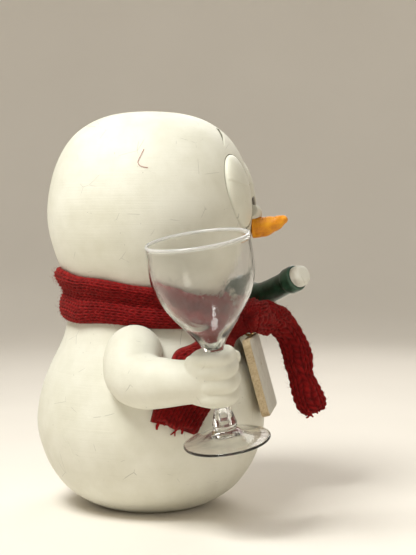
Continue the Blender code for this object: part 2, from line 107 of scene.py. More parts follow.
def bulged(wave, power):
    """A sine or a cosine pushed out towards a square wave, by a power under 1."""
    return np.sign(wave) * np.abs(wave) ** power


def fans(rows, cols, first, last):
    """Triangles that close the ends of a tube of rings, to the vertices numbered first and last."""
    end = (rows - 1) * cols
    faces = []
    for i in range(cols):
        j = (i + 1) % cols
        faces += [[first, j, i], [last, end + i, end + j]]
    return faces


def volume(verts, faces):
    """The signed volume inside these faces, negative when they face inwards."""
    total = 0.0
    for size in {len(f) for f in faces}:
        f = np.array([f for f in faces if len(f) == size])
        for k in range(1, size - 1):
            a, b, c = verts[f[:, 0]], verts[f[:, k]], verts[f[:, k + 1]]
            total += float((a * np.cross(b, c)).sum()) / 6
    return total


def plain_mesh(name, verts, faces):
    """A mesh from millimetres, its faces as they come."""
    mesh = bpy.data.meshes.new(name)
    mesh.from_pydata((verts * MM).tolist(), [], faces)
    mesh.shade_smooth()
    return mesh


def mesh_of(name, verts, faces):
    """A mesh from millimetres, turned to face outwards."""
    verts = np.asarray(verts, float)
    return plain_mesh(name, verts, [f[::-1] for f in faces] if volume(verts, faces) < 0 else faces)


def thing(name, mesh):
    item = bpy.data.objects.new(name, mesh)
    bpy.context.scene.collection.objects.link(item)
    return item


def baked(item, *modifiers):
    """Applies modifiers, each (type, settings), one after another."""
    for kind, settings in modifiers:
        modifier = item.modifiers.new(kind, kind)
        for key, value in settings.items():
            setattr(modifier, key, value)
    mesh = bpy.data.meshes.new_from_object(item.evaluated_get(bpy.context.evaluated_depsgraph_get()))
    item.modifiers.clear()
    item.data = mesh
    return item


def cut(item, *cutters, operation="DIFFERENCE"):
    """Applies Booleans with these cutters, then removes them."""
    steps = [("BOOLEAN", dict(operation=operation, solver="EXACT", object=c)) for c in cutters]
    baked(item, *steps)
    for cutter in cutters:
        bpy.data.objects.remove(cutter, do_unlink=True)
    return item


def crisp(item, degrees=38):
    item.data.shade_smooth()
    item.data.set_sharp_from_angle(angle=radians(degrees))
    return item


def dress(item, material, body="root", nodes=()):
    """Gives a piece its material, body and the CAD nodes that it stands for."""
    item.data.materials.clear()
    item.data.materials.append(material)
    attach(item, body)
    if nodes:
        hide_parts(*nodes)
    return item


def frame_along(direction, place=(0, 0, 0)):
    """A 3×3 array whose columns are x, y and z, with z along the direction, and the place."""
    turn = Vector(direction).to_track_quat("Z", "Y").to_matrix()
    return np.array(turn), np.array(place, float)


def revolved(name, outline, sides, along=None, place=(0, 0, 0), wobble=None):
    """A solid of revolution from (height, radius) rows. wobble(points) says how far each one moves out."""
    angles = turn_round(sides)
    verts, rings = [], []
    for z, r in outline:
        if r < 1e-4:
            rings.append([len(verts)])
            verts.append((0, 0, z))
        else:
            rings.append(list(range(len(verts), len(verts) + sides)))
            verts += [(r * cos(a), r * sin(a), z) for a in angles]
    faces = []
    for a, b in zip(rings, rings[1:]):
        for i in range(sides):
            j = (i + 1) % sides
            if len(a) == 1 and len(b) == 1:
                continue
            if len(a) == 1:
                faces.append([a[0], b[i], b[j]])
            elif len(b) == 1:
                faces.append([a[i], b[0], a[j]])
            else:
                faces.append([a[i], b[i], b[j], a[j]])
    verts = np.array(verts)
    if wobble is not None:
        flat = np.maximum(np.linalg.norm(verts[:, :2], axis=1), 1e-6)[:, None]
        verts[:, :2] += verts[:, :2] / flat * np.minimum(flat, 1) * wobble(verts)[:, None]
    if along is not None:
        turn, at = frame_along(along, place)
        verts = verts @ turn.T + at
    return thing(name, mesh_of(name, verts, faces))


def swept(name, points, radii, sides=32, caps=6, bump=None):
    """A round bar with domed ends through points. bump(s, angle) is a shift outwards, s mm along it."""
    p, r = np.array(points, float), np.array(radii, float)
    run = unit(np.gradient(p, axis=0))
    side = unit(np.cross(run[0], (0.3, 0.2, 1.0)))
    frames = []
    for t in run:
        side = unit(side - t * (side @ t))
        frames.append((side, np.cross(t, side)))
    dome = [pi / 2 * k / (caps + 0.5) for k in range(1, caps + 1)]
    rows = [p[0] - run[0] * r[0] * sin(a) for a in dome[::-1]] + [*p]
    rows += [p[-1] + run[-1] * r[-1] * sin(a) for a in dome]
    sizes = [r[0] * cos(a) for a in dome[::-1]] + [*r] + [r[-1] * cos(a) for a in dome]
    axes = [frames[0]] * caps + frames + [frames[-1]] * caps
    s = np.concatenate([[0], np.cumsum(np.linalg.norm(np.diff(np.array(rows), axis=0), axis=1))])
    angles = turn_round(sides)
    verts = []
    for place, size, (a, b), at in zip(rows, sizes, axes, s):
        out = np.cos(angles)[:, None] * a + np.sin(angles)[:, None] * b
        reach = size + (bump(at, angles) if bump is not None else 0)
        verts.append(place + out * np.broadcast_to(reach, angles.shape)[:, None])
    count = len(rows) * sides
    faces = grid(len(rows), sides) + fans(len(rows), sides, count, count + 1)
    verts = np.vstack([*verts, p[0] - run[0] * r[0], p[-1] + run[-1] * r[-1]])
    return thing(name, mesh_of(name, verts, faces))


def noise(points, scale, seed=0.0):
    """Smooth noise from -1 to 1 at these points, for shapes."""
    q = np.asarray(points, float) * scale + seed
    x, y, z = q[:, 0], q[:, 1], q[:, 2]
    return (np.sin(x + 1.7 * np.sin(y * 1.3 + seed)) + np.sin(y * 1.1 + 1.9 * np.sin(z * 0.9 + 2 * seed))
            + np.sin(z * 1.2 + 1.4 * np.sin(x * 1.1 + 3 * seed))) / 3


# ---- materials


class Look:
    """A Principled material and short words for its nodes."""

    def __init__(self, name, **sockets):
        self.material = bpy.data.materials.new(name)
        self.material.use_nodes = True
        self.tree = self.material.node_tree
        self.shader = self.tree.nodes["Principled BSDF"]
        for key, value in sockets.items():
            self.shader.inputs[key.replace("_", " ")].default_value = value
        self.place = self.node("TexCoord").outputs["Object"]

    def node(self, kind, inputs=None, **settings):
        made = self.tree.nodes.new("ShaderNode" + kind)
        for key, value in settings.items():
            setattr(made, key, value)
        for key, value in (inputs or {}).items():
            self.give(made.inputs[key], value)
        return made

    def give(self, socket, value):
        if isinstance(value, bpy.types.NodeSocket):
            self.tree.links.new(value, socket)
        else:
            socket.default_value = value

    def stretched(self, scale, place=None):
        return self.node("Mapping", {"Vector": place or self.place, "Scale": scale}).outputs["Vector"]

    def noise(self, scale, detail=4.0, roughness=0.5, place=None):
        made = self.node("TexNoise", {"Vector": place or self.place, "Scale": scale, "Detail": detail,
                                      "Roughness": roughness})
        return made.outputs["Fac"]

    def cells(self, scale, place=None):
        return self.node("TexVoronoi", {"Vector": place or self.place, "Scale": scale}).outputs["Distance"]

    def ramp(self, fac, *stops):
        """A colour ramp through (position, colour) stops."""
        made = self.node("ValToRGB", {"Fac": fac})
        ends = made.color_ramp.elements
        while len(ends) < len(stops):
            ends.new(0.5)
        for end, (at, colour) in zip(ends, stops):
            end.position = at
            end.color = (*colour, 1) if len(colour) == 3 else colour
        return made.outputs["Color"]

    def span(self, value, low, high, to_low=0.0, to_high=1.0):
        made = self.node("MapRange", {"Value": value, "From Min": low, "From Max": high, "To Min": to_low,
                                      "To Max": to_high})
        return made.outputs["Result"]

    def sum(self, a, b):
        return self.node("Math", {0: a, 1: b}, operation="ADD").outputs[0]

    def product(self, a, b):
        return self.node("Math", {0: a, 1: b}, operation="MULTIPLY").outputs[0]

    def along(self, vector, direction):
        """How far a vector goes in a fixed direction."""
        made = self.node("VectorMath", {0: vector, 1: tuple(direction)}, operation="DOT_PRODUCT")
        return made.outputs["Value"]

    def mixed(self, fac, a, b):
        made = self.node("Mix", data_type="RGBA", blend_type="MIX")
        self.give(made.inputs[0], fac)
        for socket, value in ((made.inputs[6], a), (made.inputs[7], b)):
            self.give(socket, (*value, 1) if isinstance(value, tuple) and len(value) == 3 else value)
        return made.outputs[2]

    def bumps(self, *layers):
        """Bump from (height, depth in metres) layers, the first one lowest."""
        normal = None
        for height, depth in layers:
            inputs = {"Height": height, "Distance": depth, "Strength": 1.0}
            if normal is not None:
                inputs["Normal"] = normal
            normal = self.node("Bump", inputs).outputs["Normal"]
        self.give(self.shader.inputs["Normal"], normal)

    def colour(self, value):
        self.give(self.shader.inputs["Base Color"], value)

    def rough(self, value):
        self.give(self.shader.inputs["Roughness"], value)


def darker(colour, share):
    return tuple(share * c for c in colour)


def paint(name, light, dark, brushed, shine=0.55):
    """Matt brushed paint over turned wood: mottling, brush lines, pores, fine scuffs and a tooth."""
    look = Look(name, Specular_IOR_Level=0.35)
    mottle = look.noise(28, 6, 0.6)
    colour = look.ramp(mottle, (0.3, dark), (0.62, light))
    streaks = look.noise(1.0, 5, 0.65, look.stretched((18, 18, 900)))
    colour = look.mixed(look.span(streaks, 0.42, 0.3, 0, 0.16 * brushed), colour, darker(dark, 0.78))
    pores = look.product(look.span(look.cells(230), 0.075, 0.05), look.span(look.noise(90, 2), 0.55, 0.62))
    colour = look.mixed(look.product(pores, 0.75), colour, darker(dark, 0.35))
    lines = look.node("TexVoronoi", {"Vector": look.place, "Scale": 42.0}, feature="DISTANCE_TO_EDGE")
    scuffs = look.product(look.span(lines.outputs["Distance"], 0.007, 0.002),
                          look.span(look.noise(75, 2), 0.585, 0.63))
    colour = look.mixed(look.product(scuffs, 0.5), colour, darker(dark, 0.4))
    look.colour(colour)
    look.rough(look.span(look.noise(160, 4), 0.3, 0.7, shine - 0.07, shine + 0.1))
    look.bumps((look.noise(1400, 3, 0.6), 0.00006), (streaks, 0.00022 * brushed), (pores, -0.00015),
               (look.noise(70, 3), 0.00025))
    return look.material


CREAM = (0.76, 0.745, 0.655)
CREAM_DARK = (0.66, 0.64, 0.535)
EYE_WHITE = (0.76, 0.75, 0.65)
EYE_DARK = (0.65, 0.63, 0.52)


# ---- the camera, the floor and the lights

# The camera's place is in millimetres. A light has a name, a place and a size in metres, watts and a colour.
CAMERA = dict(place=(-786.9, -148.9, 181), azimuth=-82, pitch=2.17, lens=51.89, sensor=24)
FLOOR_SIDES = 96
LIGHTS = (
    ("key", (-0.45, 0.30, 1.0), 0.4, 11.5, (0.985, 1.0, 0.955)),
    ("front", (-0.75, -0.75, 0.5), 0.3, 0.8, (1.0, 0.95, 0.87)),
    ("back", (0.8, -0.2, 0.8), 0.6, 3.5, (1.0, 0.98, 0.95)),
)


def set_up_studio():
    set_up_camera()
    set_up_floor()
    set_up_lights()


def set_up_camera():
    data = bpy.data.cameras.new("camera")
    data.sensor_fit = "VERTICAL"
    data.sensor_height = CAMERA["sensor"]
    data.lens = CAMERA["lens"]
    data.clip_start = 0.01
    camera = bpy.data.objects.new("camera", data)
    bpy.context.scene.collection.objects.link(camera)
    azimuth, pitch = radians(CAMERA["azimuth"]), radians(CAMERA["pitch"])
    ahead = Vector((-sin(azimuth) * cos(pitch), cos(azimuth) * cos(pitch), -sin(pitch)))
    camera.location = Vector(CAMERA["place"]) * MM
    camera.rotation_euler = ahead.to_track_quat("-Z", "Y").to_euler()
    bpy.context.scene.camera = camera
    bpy.context.scene.view_settings.view_transform = "Standard"


def set_up_floor():
    """A wide round floor whose edge curves up into a wall that ends open far above."""
    rise = [(0.0, 0.0001), (0.0, 0.2), (0.0, 1.2)]
    rise += [(0.9 * (1 - cos(a)), 1.2 + 0.9 * sin(a)) for a in np.linspace(0.1, pi / 2, 12)]
    rise += [(2.4, 2.1)]
    verts = [(r * cos(a), r * sin(a), z) for z, r in rise for a in turn_round(FLOOR_SIDES)]
    faces = [f[::-1] for f in grid(len(rise), FLOOR_SIDES)]
    mesh = bpy.data.meshes.new("floor")
    mesh.from_pydata(verts, [], faces + [list(range(FLOOR_SIDES))[::-1]])
    mesh.shade_smooth()
    floor = thing("floor", mesh)
    look = Look("floor_paint", Roughness=0.75)
    look.colour(look.ramp(look.noise(3, 3), (0.3, (0.86, 0.81, 0.74)), (0.7, (0.89, 0.84, 0.77))))
    mesh.materials.append(look.material)


def set_up_lights():
    world = bpy.data.worlds.new("studio")
    world.use_nodes = True
    sky = world.node_tree.nodes["Background"]
    sky.inputs["Color"].default_value = (1.0, 0.975, 0.92, 1)
    sky.inputs["Strength"].default_value = 0.34
    bpy.context.scene.world = world
    aim = Vector((0, 0, 0.13))
    for name, place, size, power, colour in LIGHTS:
        light = bpy.data.lights.new(name, "AREA")
        light.size = size
        light.energy = power
        light.color = colour
        lamp = bpy.data.objects.new(name, light)
        lamp.location = place
        lamp.rotation_euler = (aim - Vector(place)).to_track_quat("-Z", "Y").to_euler()
        bpy.context.scene.collection.objects.link(lamp)


# ---- the body and the head


def rod(name, start, end, radius, sides=24):
    """A flat-ended bar, as a cutter."""
    start, end = np.array(start, float), np.array(end, float)
    length = float(np.linalg.norm(end - start))
    return revolved(name, [(length, 0), (length, radius), (0, radius), (0, 0)], sides, end - start, start)


def oval(name, half_width, half_height, low, high, place, sides=96):
    """An oval bar along the local z axis of a matrix, as a cutter."""
    ring = [(half_width * cos(a), half_height * sin(a)) for a in turn_round(sides)]
    verts = np.array([(x, y, z) for z in (low, high) for x, y in ring])
    faces = grid(2, sides) + [list(range(sides - 1, -1, -1)), list(range(sides, 2 * sides))]
    return thing(name, mesh_of(name, placed(verts, place), faces))


def egg(name, place, size, rows, sides):
    """An ellipsoid with these half sizes."""
    ball = revolved(name, [(cos(a), sin(a)) for a in np.linspace(0, pi, rows)], sides)
    ball.data.transform(Matrix.Translation(Vector(place) * MM) @ Matrix.Diagonal((*size, 1)))
    return ball


def placed(verts, place):
    m = np.array(place)
    return np.asarray(verts) @ m[:3, :3].T + m[:3, 3]


def eye_place(side):
    """The matrix of an eye: x across, towards +X; y up, leaning outwards; z out of the face."""
    turn, tilt = radians(EYE["turn"]) * side, radians(EYE["tilt"])
    out = Vector((sin(turn) * cos(tilt), -cos(turn) * cos(tilt), sin(tilt)))
    across = Vector((cos(turn), sin(turn), 0))
    m = Matrix((across, out.cross(across), out)).transposed().to_4x4()
    lean = Matrix.Rotation(-side * radians(EYE["roll"]), 4, "Z")
    return Matrix.Translation((side * EYE["x"], EYE["y"], EYE["z"])) @ m @ lean


def crack(outline, points):
    """A hairline cutter that wanders over a turned surface."""
    line = through(points, 9)
    line = line + 0.35 * np.stack([noise(line, 0.9, k) for k in (1.0, 2.0, 3.0)], 1)
    flat = np.hypot(line[:, 0], line[:, 1])
    line[:, :2] *= (radius_of(outline, line[:, 2]) / flat)[:, None]
    width = 0.24 * np.sin(np.linspace(0.25, pi - 0.25, len(line)))
    return swept("crack", line, width, 8, 2)


def handmade(points):
    return 0.18 * noise(points, 0.035, 1.3) + 0.05 * noise(points, 0.12, 4.1)


def make_body(material):
    outside = through(BODY_OUTLINE, 14)
    low, bore, mouth = NECK_BORE["low"], NECK_BORE["radius"], NECK_BORE["mouth"]
    hole = [(low, 0), (low, bore), (NECK_Z - 0.4, bore), (NECK_Z, mouth), (NECK_Z, 46.5)]
    body = revolved("snowman_body", [*hole, *outside, (0, 32), (0, 0)], 208, wobble=handmade)
    cutters = []
    for side in (-1, 1):
        cutters.append(shoulder_space(side, 44.6, 80))
        x, y, z = side * SIGN["half"], SIGN["hinge_y"], SIGN["hinge_z"]
        cutters.append(rod("hole", (x, y + SIGN["leg"] + 0.4, z), (x, y, z), WIRE_HOLE))
    cutters.append(crack(BODY_OUTLINE, ((-59.5, 45.7, 58.9), (-60.9, 44.0, 53.6), (-62.1, 39.9, 46.9),
                                        (-61.1, 35.7, 36.8))))
    cut(body, *cutters)
    return dress(crisp(body), material, nodes=["body"])


def brow_line(side):
    return through(((side * 9, -46.9, 247.6), (side * 13.3, -49.0, 244.6), (side * 17, -50.2, 241.7),
                    (side * 19.8, -51.0, 239.5), (side * 23.8, -51.9, 236.4)), 6)


def make_head(material):
    outside = through(HEAD_OUTLINE, 12)
    high, bore, mouth = NECK_BORE["high"], NECK_BORE["radius"], NECK_BORE["mouth"]
    hole = [(NECK_Z + FIT, mouth), (NECK_Z + 0.7, bore), (high, bore), (high, 0)]
    head = revolved("snowman_head", [*outside, (NECK_Z + FIT, 44), *hole], 208, wobble=handmade)
    cut(head, egg("bridge", (0, -68, 193), (5.6, 6.2, 6.5), 33, 48), operation="UNION")
    cutters = []
    for side in (-1, 1):
        cutters.append(oval("socket", EYE["width"] + 0.55, EYE["height"] + 0.55, -EYE["seat"] - 0.4, 60,
                            eye_place(side)))
        line = brow_line(side)
        width = np.interp(np.linspace(0, 1, len(line)), (0, 0.25, 0.6, 1), (2.3, 2.0, 1.3, 0.6))
        cutters.append(swept("brow", line, width, 16))
    cutters.append(egg("middle", (0, -69, 211), (4.2, 4, 15), 25, 32))
    line, width = nose_line(-2.5)
    cutters.append(swept("nose_hole", line, width + 0.35, 48, caps=1))
    cutters.append(crack(HEAD_OUTLINE, ((-44.5, 35.8, 235.9), (-47.7, 37.0, 229.4), (-50.8, 38.8, 221.1))))
    cut(head, *cutters)
    return dress(crisp(head), material, nodes=["head"])


def make_brow(side, word):
    """The dark stroke at the bottom of a brow's groove."""
    line = brow_line(side)
    flat = np.hypot(line[:, 0], line[:, 1])
    line[:, :2] *= (1 - 1.15 / flat)[:, None]
    line[:, 2] -= 0.8
    width = np.interp(np.linspace(0, 1, len(line)), (0, 0.25, 0.7, 1), (1.5, 1.3, 0.75, 0.35))
    stroke = swept(f"brow_stroke_{word}", line, width, 16)
    look = Look(f"brow_stroke_{word}_paint", Roughness=0.8)
    look.colour(look.ramp(look.noise(700, 4), (0.35, (0.10, 0.095, 0.065)), (0.65, (0.21, 0.20, 0.145))))
    look.bumps((look.noise(1500, 3), 0.0001))
    dress(stroke, look.material)


def nose_line(extra=0.0):
    """The carrot's centreline and radii, its peg first."""
    peg = [(58 + extra, 183.4, 3.2), (67.6, 184, 3.2)]
    shape = through(((68.0, 184, 6.9), (72, 184.2, 6.9), (77, 184.9, 6.3), (82.2, 186.5, 5.1),
                     (86, 188.1, 4.0), (88.2, 189.1, 2.9)), 10)
    rows = np.vstack([peg, shape])
    return np.stack([np.zeros(len(rows)), -rows[:, 0], rows[:, 1]], 1), rows[:, 2]


def make_nose():
    line, width = nose_line()
    creases = [(rng.uniform(11, 30), rng.uniform(0, 2 * pi), rng.uniform(0.3, 0.9), rng.uniform(0.15, 0.34))
               for _ in range(26)]

    def bump(s, angles):
        shift = np.zeros_like(angles)
        if s < 10.5:
            return shift
        for at, middle, reach, depth in creases:
            turn = np.abs((angles - middle + pi) % (2 * pi) - pi)
            shift -= depth * np.exp(-(((s - at) / 0.32) ** 2)) * np.exp(-((turn / reach) ** 4))
        return shift + 0.12 * np.sin(3 * angles + s * 0.7) + 0.08 * np.sin(5 * angles - s * 0.9)

    dense = np.linspace(0, len(line) - 1, 190)
    at = np.arange(len(line))
    points = np.stack([np.interp(dense, at, line[:, k]) for k in range(3)], 1)
    nose = swept("carrot_nose_painted", points, np.interp(dense, at, width), 72, 5, bump)
    look = Look("carrot_orange", Specular_IOR_Level=0.4)
    blotch = look.noise(170, 5, 0.6)
    colour = look.ramp(blotch, (0.3, (0.56, 0.17, 0.004)), (0.5, (0.76, 0.28, 0.006)),
                       (0.72, (0.86, 0.39, 0.012)))
    fine = look.noise(900, 3)
    look.colour(look.mixed(look.span(fine, 0.4, 0.25, 0, 0.4), colour, (0.45, 0.13, 0.005)))
    look.rough(look.span(blotch, 0.3, 0.7, 0.36, 0.55))
    look.bumps((fine, 0.00012), (blotch, 0.0003))
    dress(crisp(nose, 60), look.material, nodes=["carrot_nose"])


def mirrored(item, name):
    """The same mesh on the other side of the figure."""
    mesh = item.data.copy()
    mesh.transform(Matrix.Diagonal((-1, 1, 1, 1)))
    mesh.flip_normals()
    return thing(name, mesh)


def make_eyes():
    eye = make_eyeball(-1)
    for side, word, ball in ((-1, "right", eye), (1, "left", mirrored(eye, "eyeball_left"))):
        shell = paint(f"eye_paint_{word}_brushed", EYE_WHITE, EYE_DARK, 0.4, 0.45)
        dress(crisp(ball), shell, nodes=[f"eye_{word}"])
        make_iris(side, word)


def pupil_seat(side):
    """The matrix of the pupil's seat, its z axis outwards, in the face's own place."""
    w, h, d = EYE["width"], EYE["height"], EYE["depth"]
    x, y = side * PUPIL["across"], PUPIL["up"]
    z = d * sqrt(1 - (x / w) ** 2 - (y / h) ** 2)
    normal = Vector((x / w**2, y / h**2, z / d**2)).normalized()
    out = (normal + Vector((0, 0, 1))).normalized()
    facing = out.to_track_quat("Z", "Y").to_matrix().to_4x4()
    return eye_place(side) @ Matrix.Translation((x, y, z)) @ facing


def make_eyeball(side):
    """An oval eyeball with a heavy upper lid and a seat for its pupil, to be let into its socket."""
    w, h, d = EYE["width"], EYE["height"], EYE["depth"]
    low = np.arccos(-EYE["seat"] / d)
    steps = np.linspace(0, low, 96)
    sides = 220
    angles = turn_round(sides)
    ring = np.stack([w * np.cos(angles), h * np.sin(angles)], 1)
    rows = [np.column_stack([sin(t) * ring, np.full(sides, d * cos(t))]) for t in steps[1:]]
    verts = np.vstack(rows)
    roll = side * radians(EYE["roll"])
    across = verts[:, 0] * cos(roll) + verts[:, 1] * sin(roll)
    height = verts[:, 1] * cos(roll) - verts[:, 0] * sin(roll)
    lid = 3.0 + 0.013 * (across - side * 1.0) ** 2
    step = 1 / (1 + np.exp(-(height - lid) / 0.16))
    front = np.clip(verts[:, 2] / 2, 0, 1)
    out = unit(verts / np.array([w * w, h * h, d * d]))
    swell = 0.34 * step * np.exp(-np.clip(height - lid, 0, None) / 22)
    verts = verts + out * (front * swell)[:, None]
    faces = grid(len(rows), sides) + fans(len(rows), sides, len(verts), len(verts) + 1)
    verts = np.vstack([verts, (0, 0, d), (0, 0, -EYE["seat"])])
    eye = thing("eyeball_right", mesh_of("eyeball_right", placed(verts, eye_place(side)), faces))
    hole = PUPIL["radius"] + 0.22
    return cut(eye, oval("seat", hole, hole, -1.6, 8, pupil_seat(side)))


def make_iris(side, word):
    seat, r = pupil_seat(side), PUPIL["radius"]
    rise = [(-0.05, 0), (-0.05, 1.45), (-0.28, 1.62), (-0.12, 1.85), (0.0, 2.4), (0.0, 3.4), (-0.12, 3.8),
            (-0.4, r - 0.02), (-1.3, r), (-1.3, 0)]
    disc = revolved(f"iris_{word}", rise, 72)
    to_metres = Matrix.Diagonal((MM, MM, MM, 1))
    disc.data.transform(to_metres @ seat @ to_metres.inverted())
    look = Look(f"iris_{word}_paint", Roughness=0.32)
    centre = tuple(c * MM for c in seat.translation)
    away = look.node("VectorMath", {0: look.place, 1: centre}, operation="DISTANCE").outputs["Value"]
    frayed = look.sum(away, look.span(look.noise(1500, 2), 0, 1, -0.00015, 0.00015))
    ring = look.ramp(look.span(frayed, 0, 0.0044), (0.30, (0.006, 0.006, 0.006)), (0.36, (0.22, 0.20, 0.15)),
                     (0.66, (0.30, 0.27, 0.20)), (0.80, (0.10, 0.085, 0.06)))
    look.colour(ring)
    look.bumps((look.noise(1800, 3), 0.00005))
    dress(crisp(disc), look.material, nodes=[f"pupil_{word}"])


# ---- the arms and the hands


def make_arm(word, line, fist_at, grip, holes, material):
    """One arm: a swept limb, a fist with four fingers and a thumb, remeshed as one skin and hollowed."""
    p = through(line, 6)
    limb = swept("limb", p[:, :3], p[:, 3], 40, 8)
    up = Vector(grip).normalized()
    forearm = (Vector(line[-1][:3]) - Vector(line[-3][:3])).normalized()
    outward = forearm.cross(up).normalized()
    ahead = up.cross(outward)
    if ahead.dot(forearm) < 0:
        ahead = -ahead
    if (outward.x > 0) != (line[0][0] > 0):
        outward = -outward
    m = np.array([outward, ahead, up])
    at = np.array(fist_at, float)
    parts = [limb]
    palm = egg("palm", (0, 0, 0), (1, 1, 1), 41, 56)
    co = np.array([v.co for v in palm.data.vertices]) / MM
    block = bulged(co, 0.58) * np.array([13.9, 14.6, 16.6]) + np.array([0, 0, 1.2])
    palm.data.vertices.foreach_set("co", ((block @ m + at) * MM).ravel())
    parts.append(palm)
    for height, size, reach in ((13.4, 4.5, -0.1), (6.9, 5.2, 0.3), (-1.7, 5.3, 0.2), (-9.8, 5.2, -0.8)):
        curl = through(((6.5, -9, height * 0.9 + 0.4), (9.6, 0, height), (9.6, 7.6 + reach, height),
                        (6.2, 10.7 + reach, height), (-2, 11.0 + reach, height), (-8.2, 8.4, height),
                        (-9.6, 1.0, height)), 5)
        parts.append(swept("finger", curl @ m + at, np.full(len(curl), size), 24, 6))
    thumb = through(((-7, -10, 5), (-11.5, -3, 9), (-12.5, 5, 10.5), (-10.5, 11.5, 9.5)), 5)
    parts.append(swept("thumb", thumb @ m + at, np.linspace(5.6, 4.6, len(thumb)), 24, 6))
    arm = joined(f"arm_{word}_carved", parts)
    baked(arm, ("REMESH", dict(mode="VOXEL", voxel_size=0.6 * MM)),
          ("SMOOTH", dict(factor=0.5, iterations=6)))
    cut(arm, *holes)
    keep_largest(arm)
    return dress(crisp(arm, 50), material, nodes=[f"arm_{word}"])


def joined(name, parts):
    """One object that holds all these meshes."""
    verts, faces = [], []
    for part in parts:
        start = len(verts)
        verts += [tuple(v.co) for v in part.data.vertices]
        faces += [[start + i for i in f.vertices] for f in part.data.polygons]
        bpy.data.objects.remove(part, do_unlink=True)
    mesh = bpy.data.meshes.new(name)
    mesh.from_pydata(verts, [], faces)
    return thing(name, mesh)


def keep_largest(item):
    """Drops the small loose islands that a cut leaves."""
    mesh = item.data
    n = len(mesh.vertices)
    edges = np.empty(len(mesh.edges) * 2, np.int64)
    mesh.edges.foreach_get("vertices", edges)
    edges = edges.reshape(-1, 2)
    label = np.arange(n)
    while True:
        low = np.minimum(label[edges[:, 0]], label[edges[:, 1]])
        new = label.copy()
        np.minimum.at(new, edges[:, 0], low)
        np.minimum.at(new, edges[:, 1], low)
        new = new[new]
        if (new == label).all():
            break
        label = new
    names, counts = np.unique(label, return_counts=True)
    if len(names) == 1:
        return
    keep = label == names[counts.argmax()]
    index = np.cumsum(keep) - 1
    verts = [tuple(v.co) for v, k in zip(mesh.vertices, keep) if k]
    faces = [[int(index[i]) for i in f.vertices] for f in mesh.polygons if keep[f.vertices[0]]]
    fresh = bpy.data.meshes.new(mesh.name)
    fresh.from_pydata(verts, [], faces)
    item.data = fresh


def body_space():
    outline = through(BODY_OUTLINE, 8) + np.array([0, FIT])
    return revolved("body_space", [(outline[0][0], 0), *outline, (outline[-1][0], 0)], 160)


def shoulder_space(side, start=40, end=67.4):
    """The bore of a shoulder dowel, between these distances from the middle."""
    y, z = SHOULDER["y"], SHOULDER["z"]
    return rod("dowel_space", (side * start, y, z), (side * end, y, z), SHOULDER["radius"])


ARM_RIGHT = ((-56, -1, 106, 16.5), (-62, -1, 106, 17.6), (-68.5, -1, 100, 17.9), (-75, -4, 93.5, 17.6),
             (-81, -12.5, 91, 16.6), (-86, -24, 91.2, 15), (-88.5, -36, 92, 13.4), (-89, -46, 93.3, 13.2))
ARM_LEFT = ((56, -1, 106, 16.5), (62, -2, 106, 17.4), (69, -6, 99.5, 17.6), (75.5, -16, 94, 17),
            (79.5, -29, 93, 15.6), (77, -43, 98.5, 14), (67.5, -53, 110, 13.2), (58.5, -58, 119, 13.2))
FIST_RIGHT_AT = (-88.5, -53.5, 94.5)
FIST_LEFT_AT = (55, -60, 125)


# ---- the goblet and the bottle

BOWL_OUTER = ((124, 30.3), (117, 30.8), (108, 31), (99, 30), (90, 27), (81, 21.8), (72, 15), (65, 9.8),
              (60, 6.8), (54, 4.8), (46, 3.7), (36, 3.3), (28, 3.6), (21, 5.0), (15, 6.8), (12.6, 7.4))
BOWL_INNER = ((58.6, 0), (59.3, 2.4), (62.5, 5.0), (67, 8.6), (73, 14.0), (82, 20.8), (91, 25.8),
              (100, 28.8), (108, 29.8), (117, 29.6), (122.4, 29.15))


def clear_plastic():
    look = Look("clear_moulded_plastic", Transmission_Weight=1.0, IOR=1.42, Specular_IOR_Level=0.6)
    look.colour(look.ramp(look.noise(60, 3), (0.35, (0.955, 0.96, 0.955)), (0.65, (0.985, 0.985, 0.98))))
    scratch = look.noise(1.0, 3, 0.7, look.stretched((700, 240, 90)))
    dust = look.product(look.span(look.cells(420), 0.10, 0.05), look.span(look.noise(120, 3), 0.52, 0.62))
    worn = look.sum(look.span(scratch, 0.64, 0.8, 0.0, 0.18), look.product(dust, 0.5))
    foot = tuple(GOBLET_FOOT_AT * MM)
    away = look.node("VectorMath", {0: look.place, 1: foot}, operation="SUBTRACT").outputs[0]
    height = look.along(away, GOBLET_UP)
    # Painted highlight: the lip is made partly milky white, and rougher, so that the rim shows as a bright
    # band.
    lip = look.span(height, 0.1224, 0.1232)
    look.give(look.shader.inputs["Transmission Weight"], look.span(lip, 0, 1, 1.0, 0.62))
    look.rough(look.sum(look.sum(worn, 0.025), look.product(lip, 0.2)))
    look.bumps((look.noise(55, 2), 0.0006), (scratch, 0.00004), (dust, 0.00012))
    return look.material


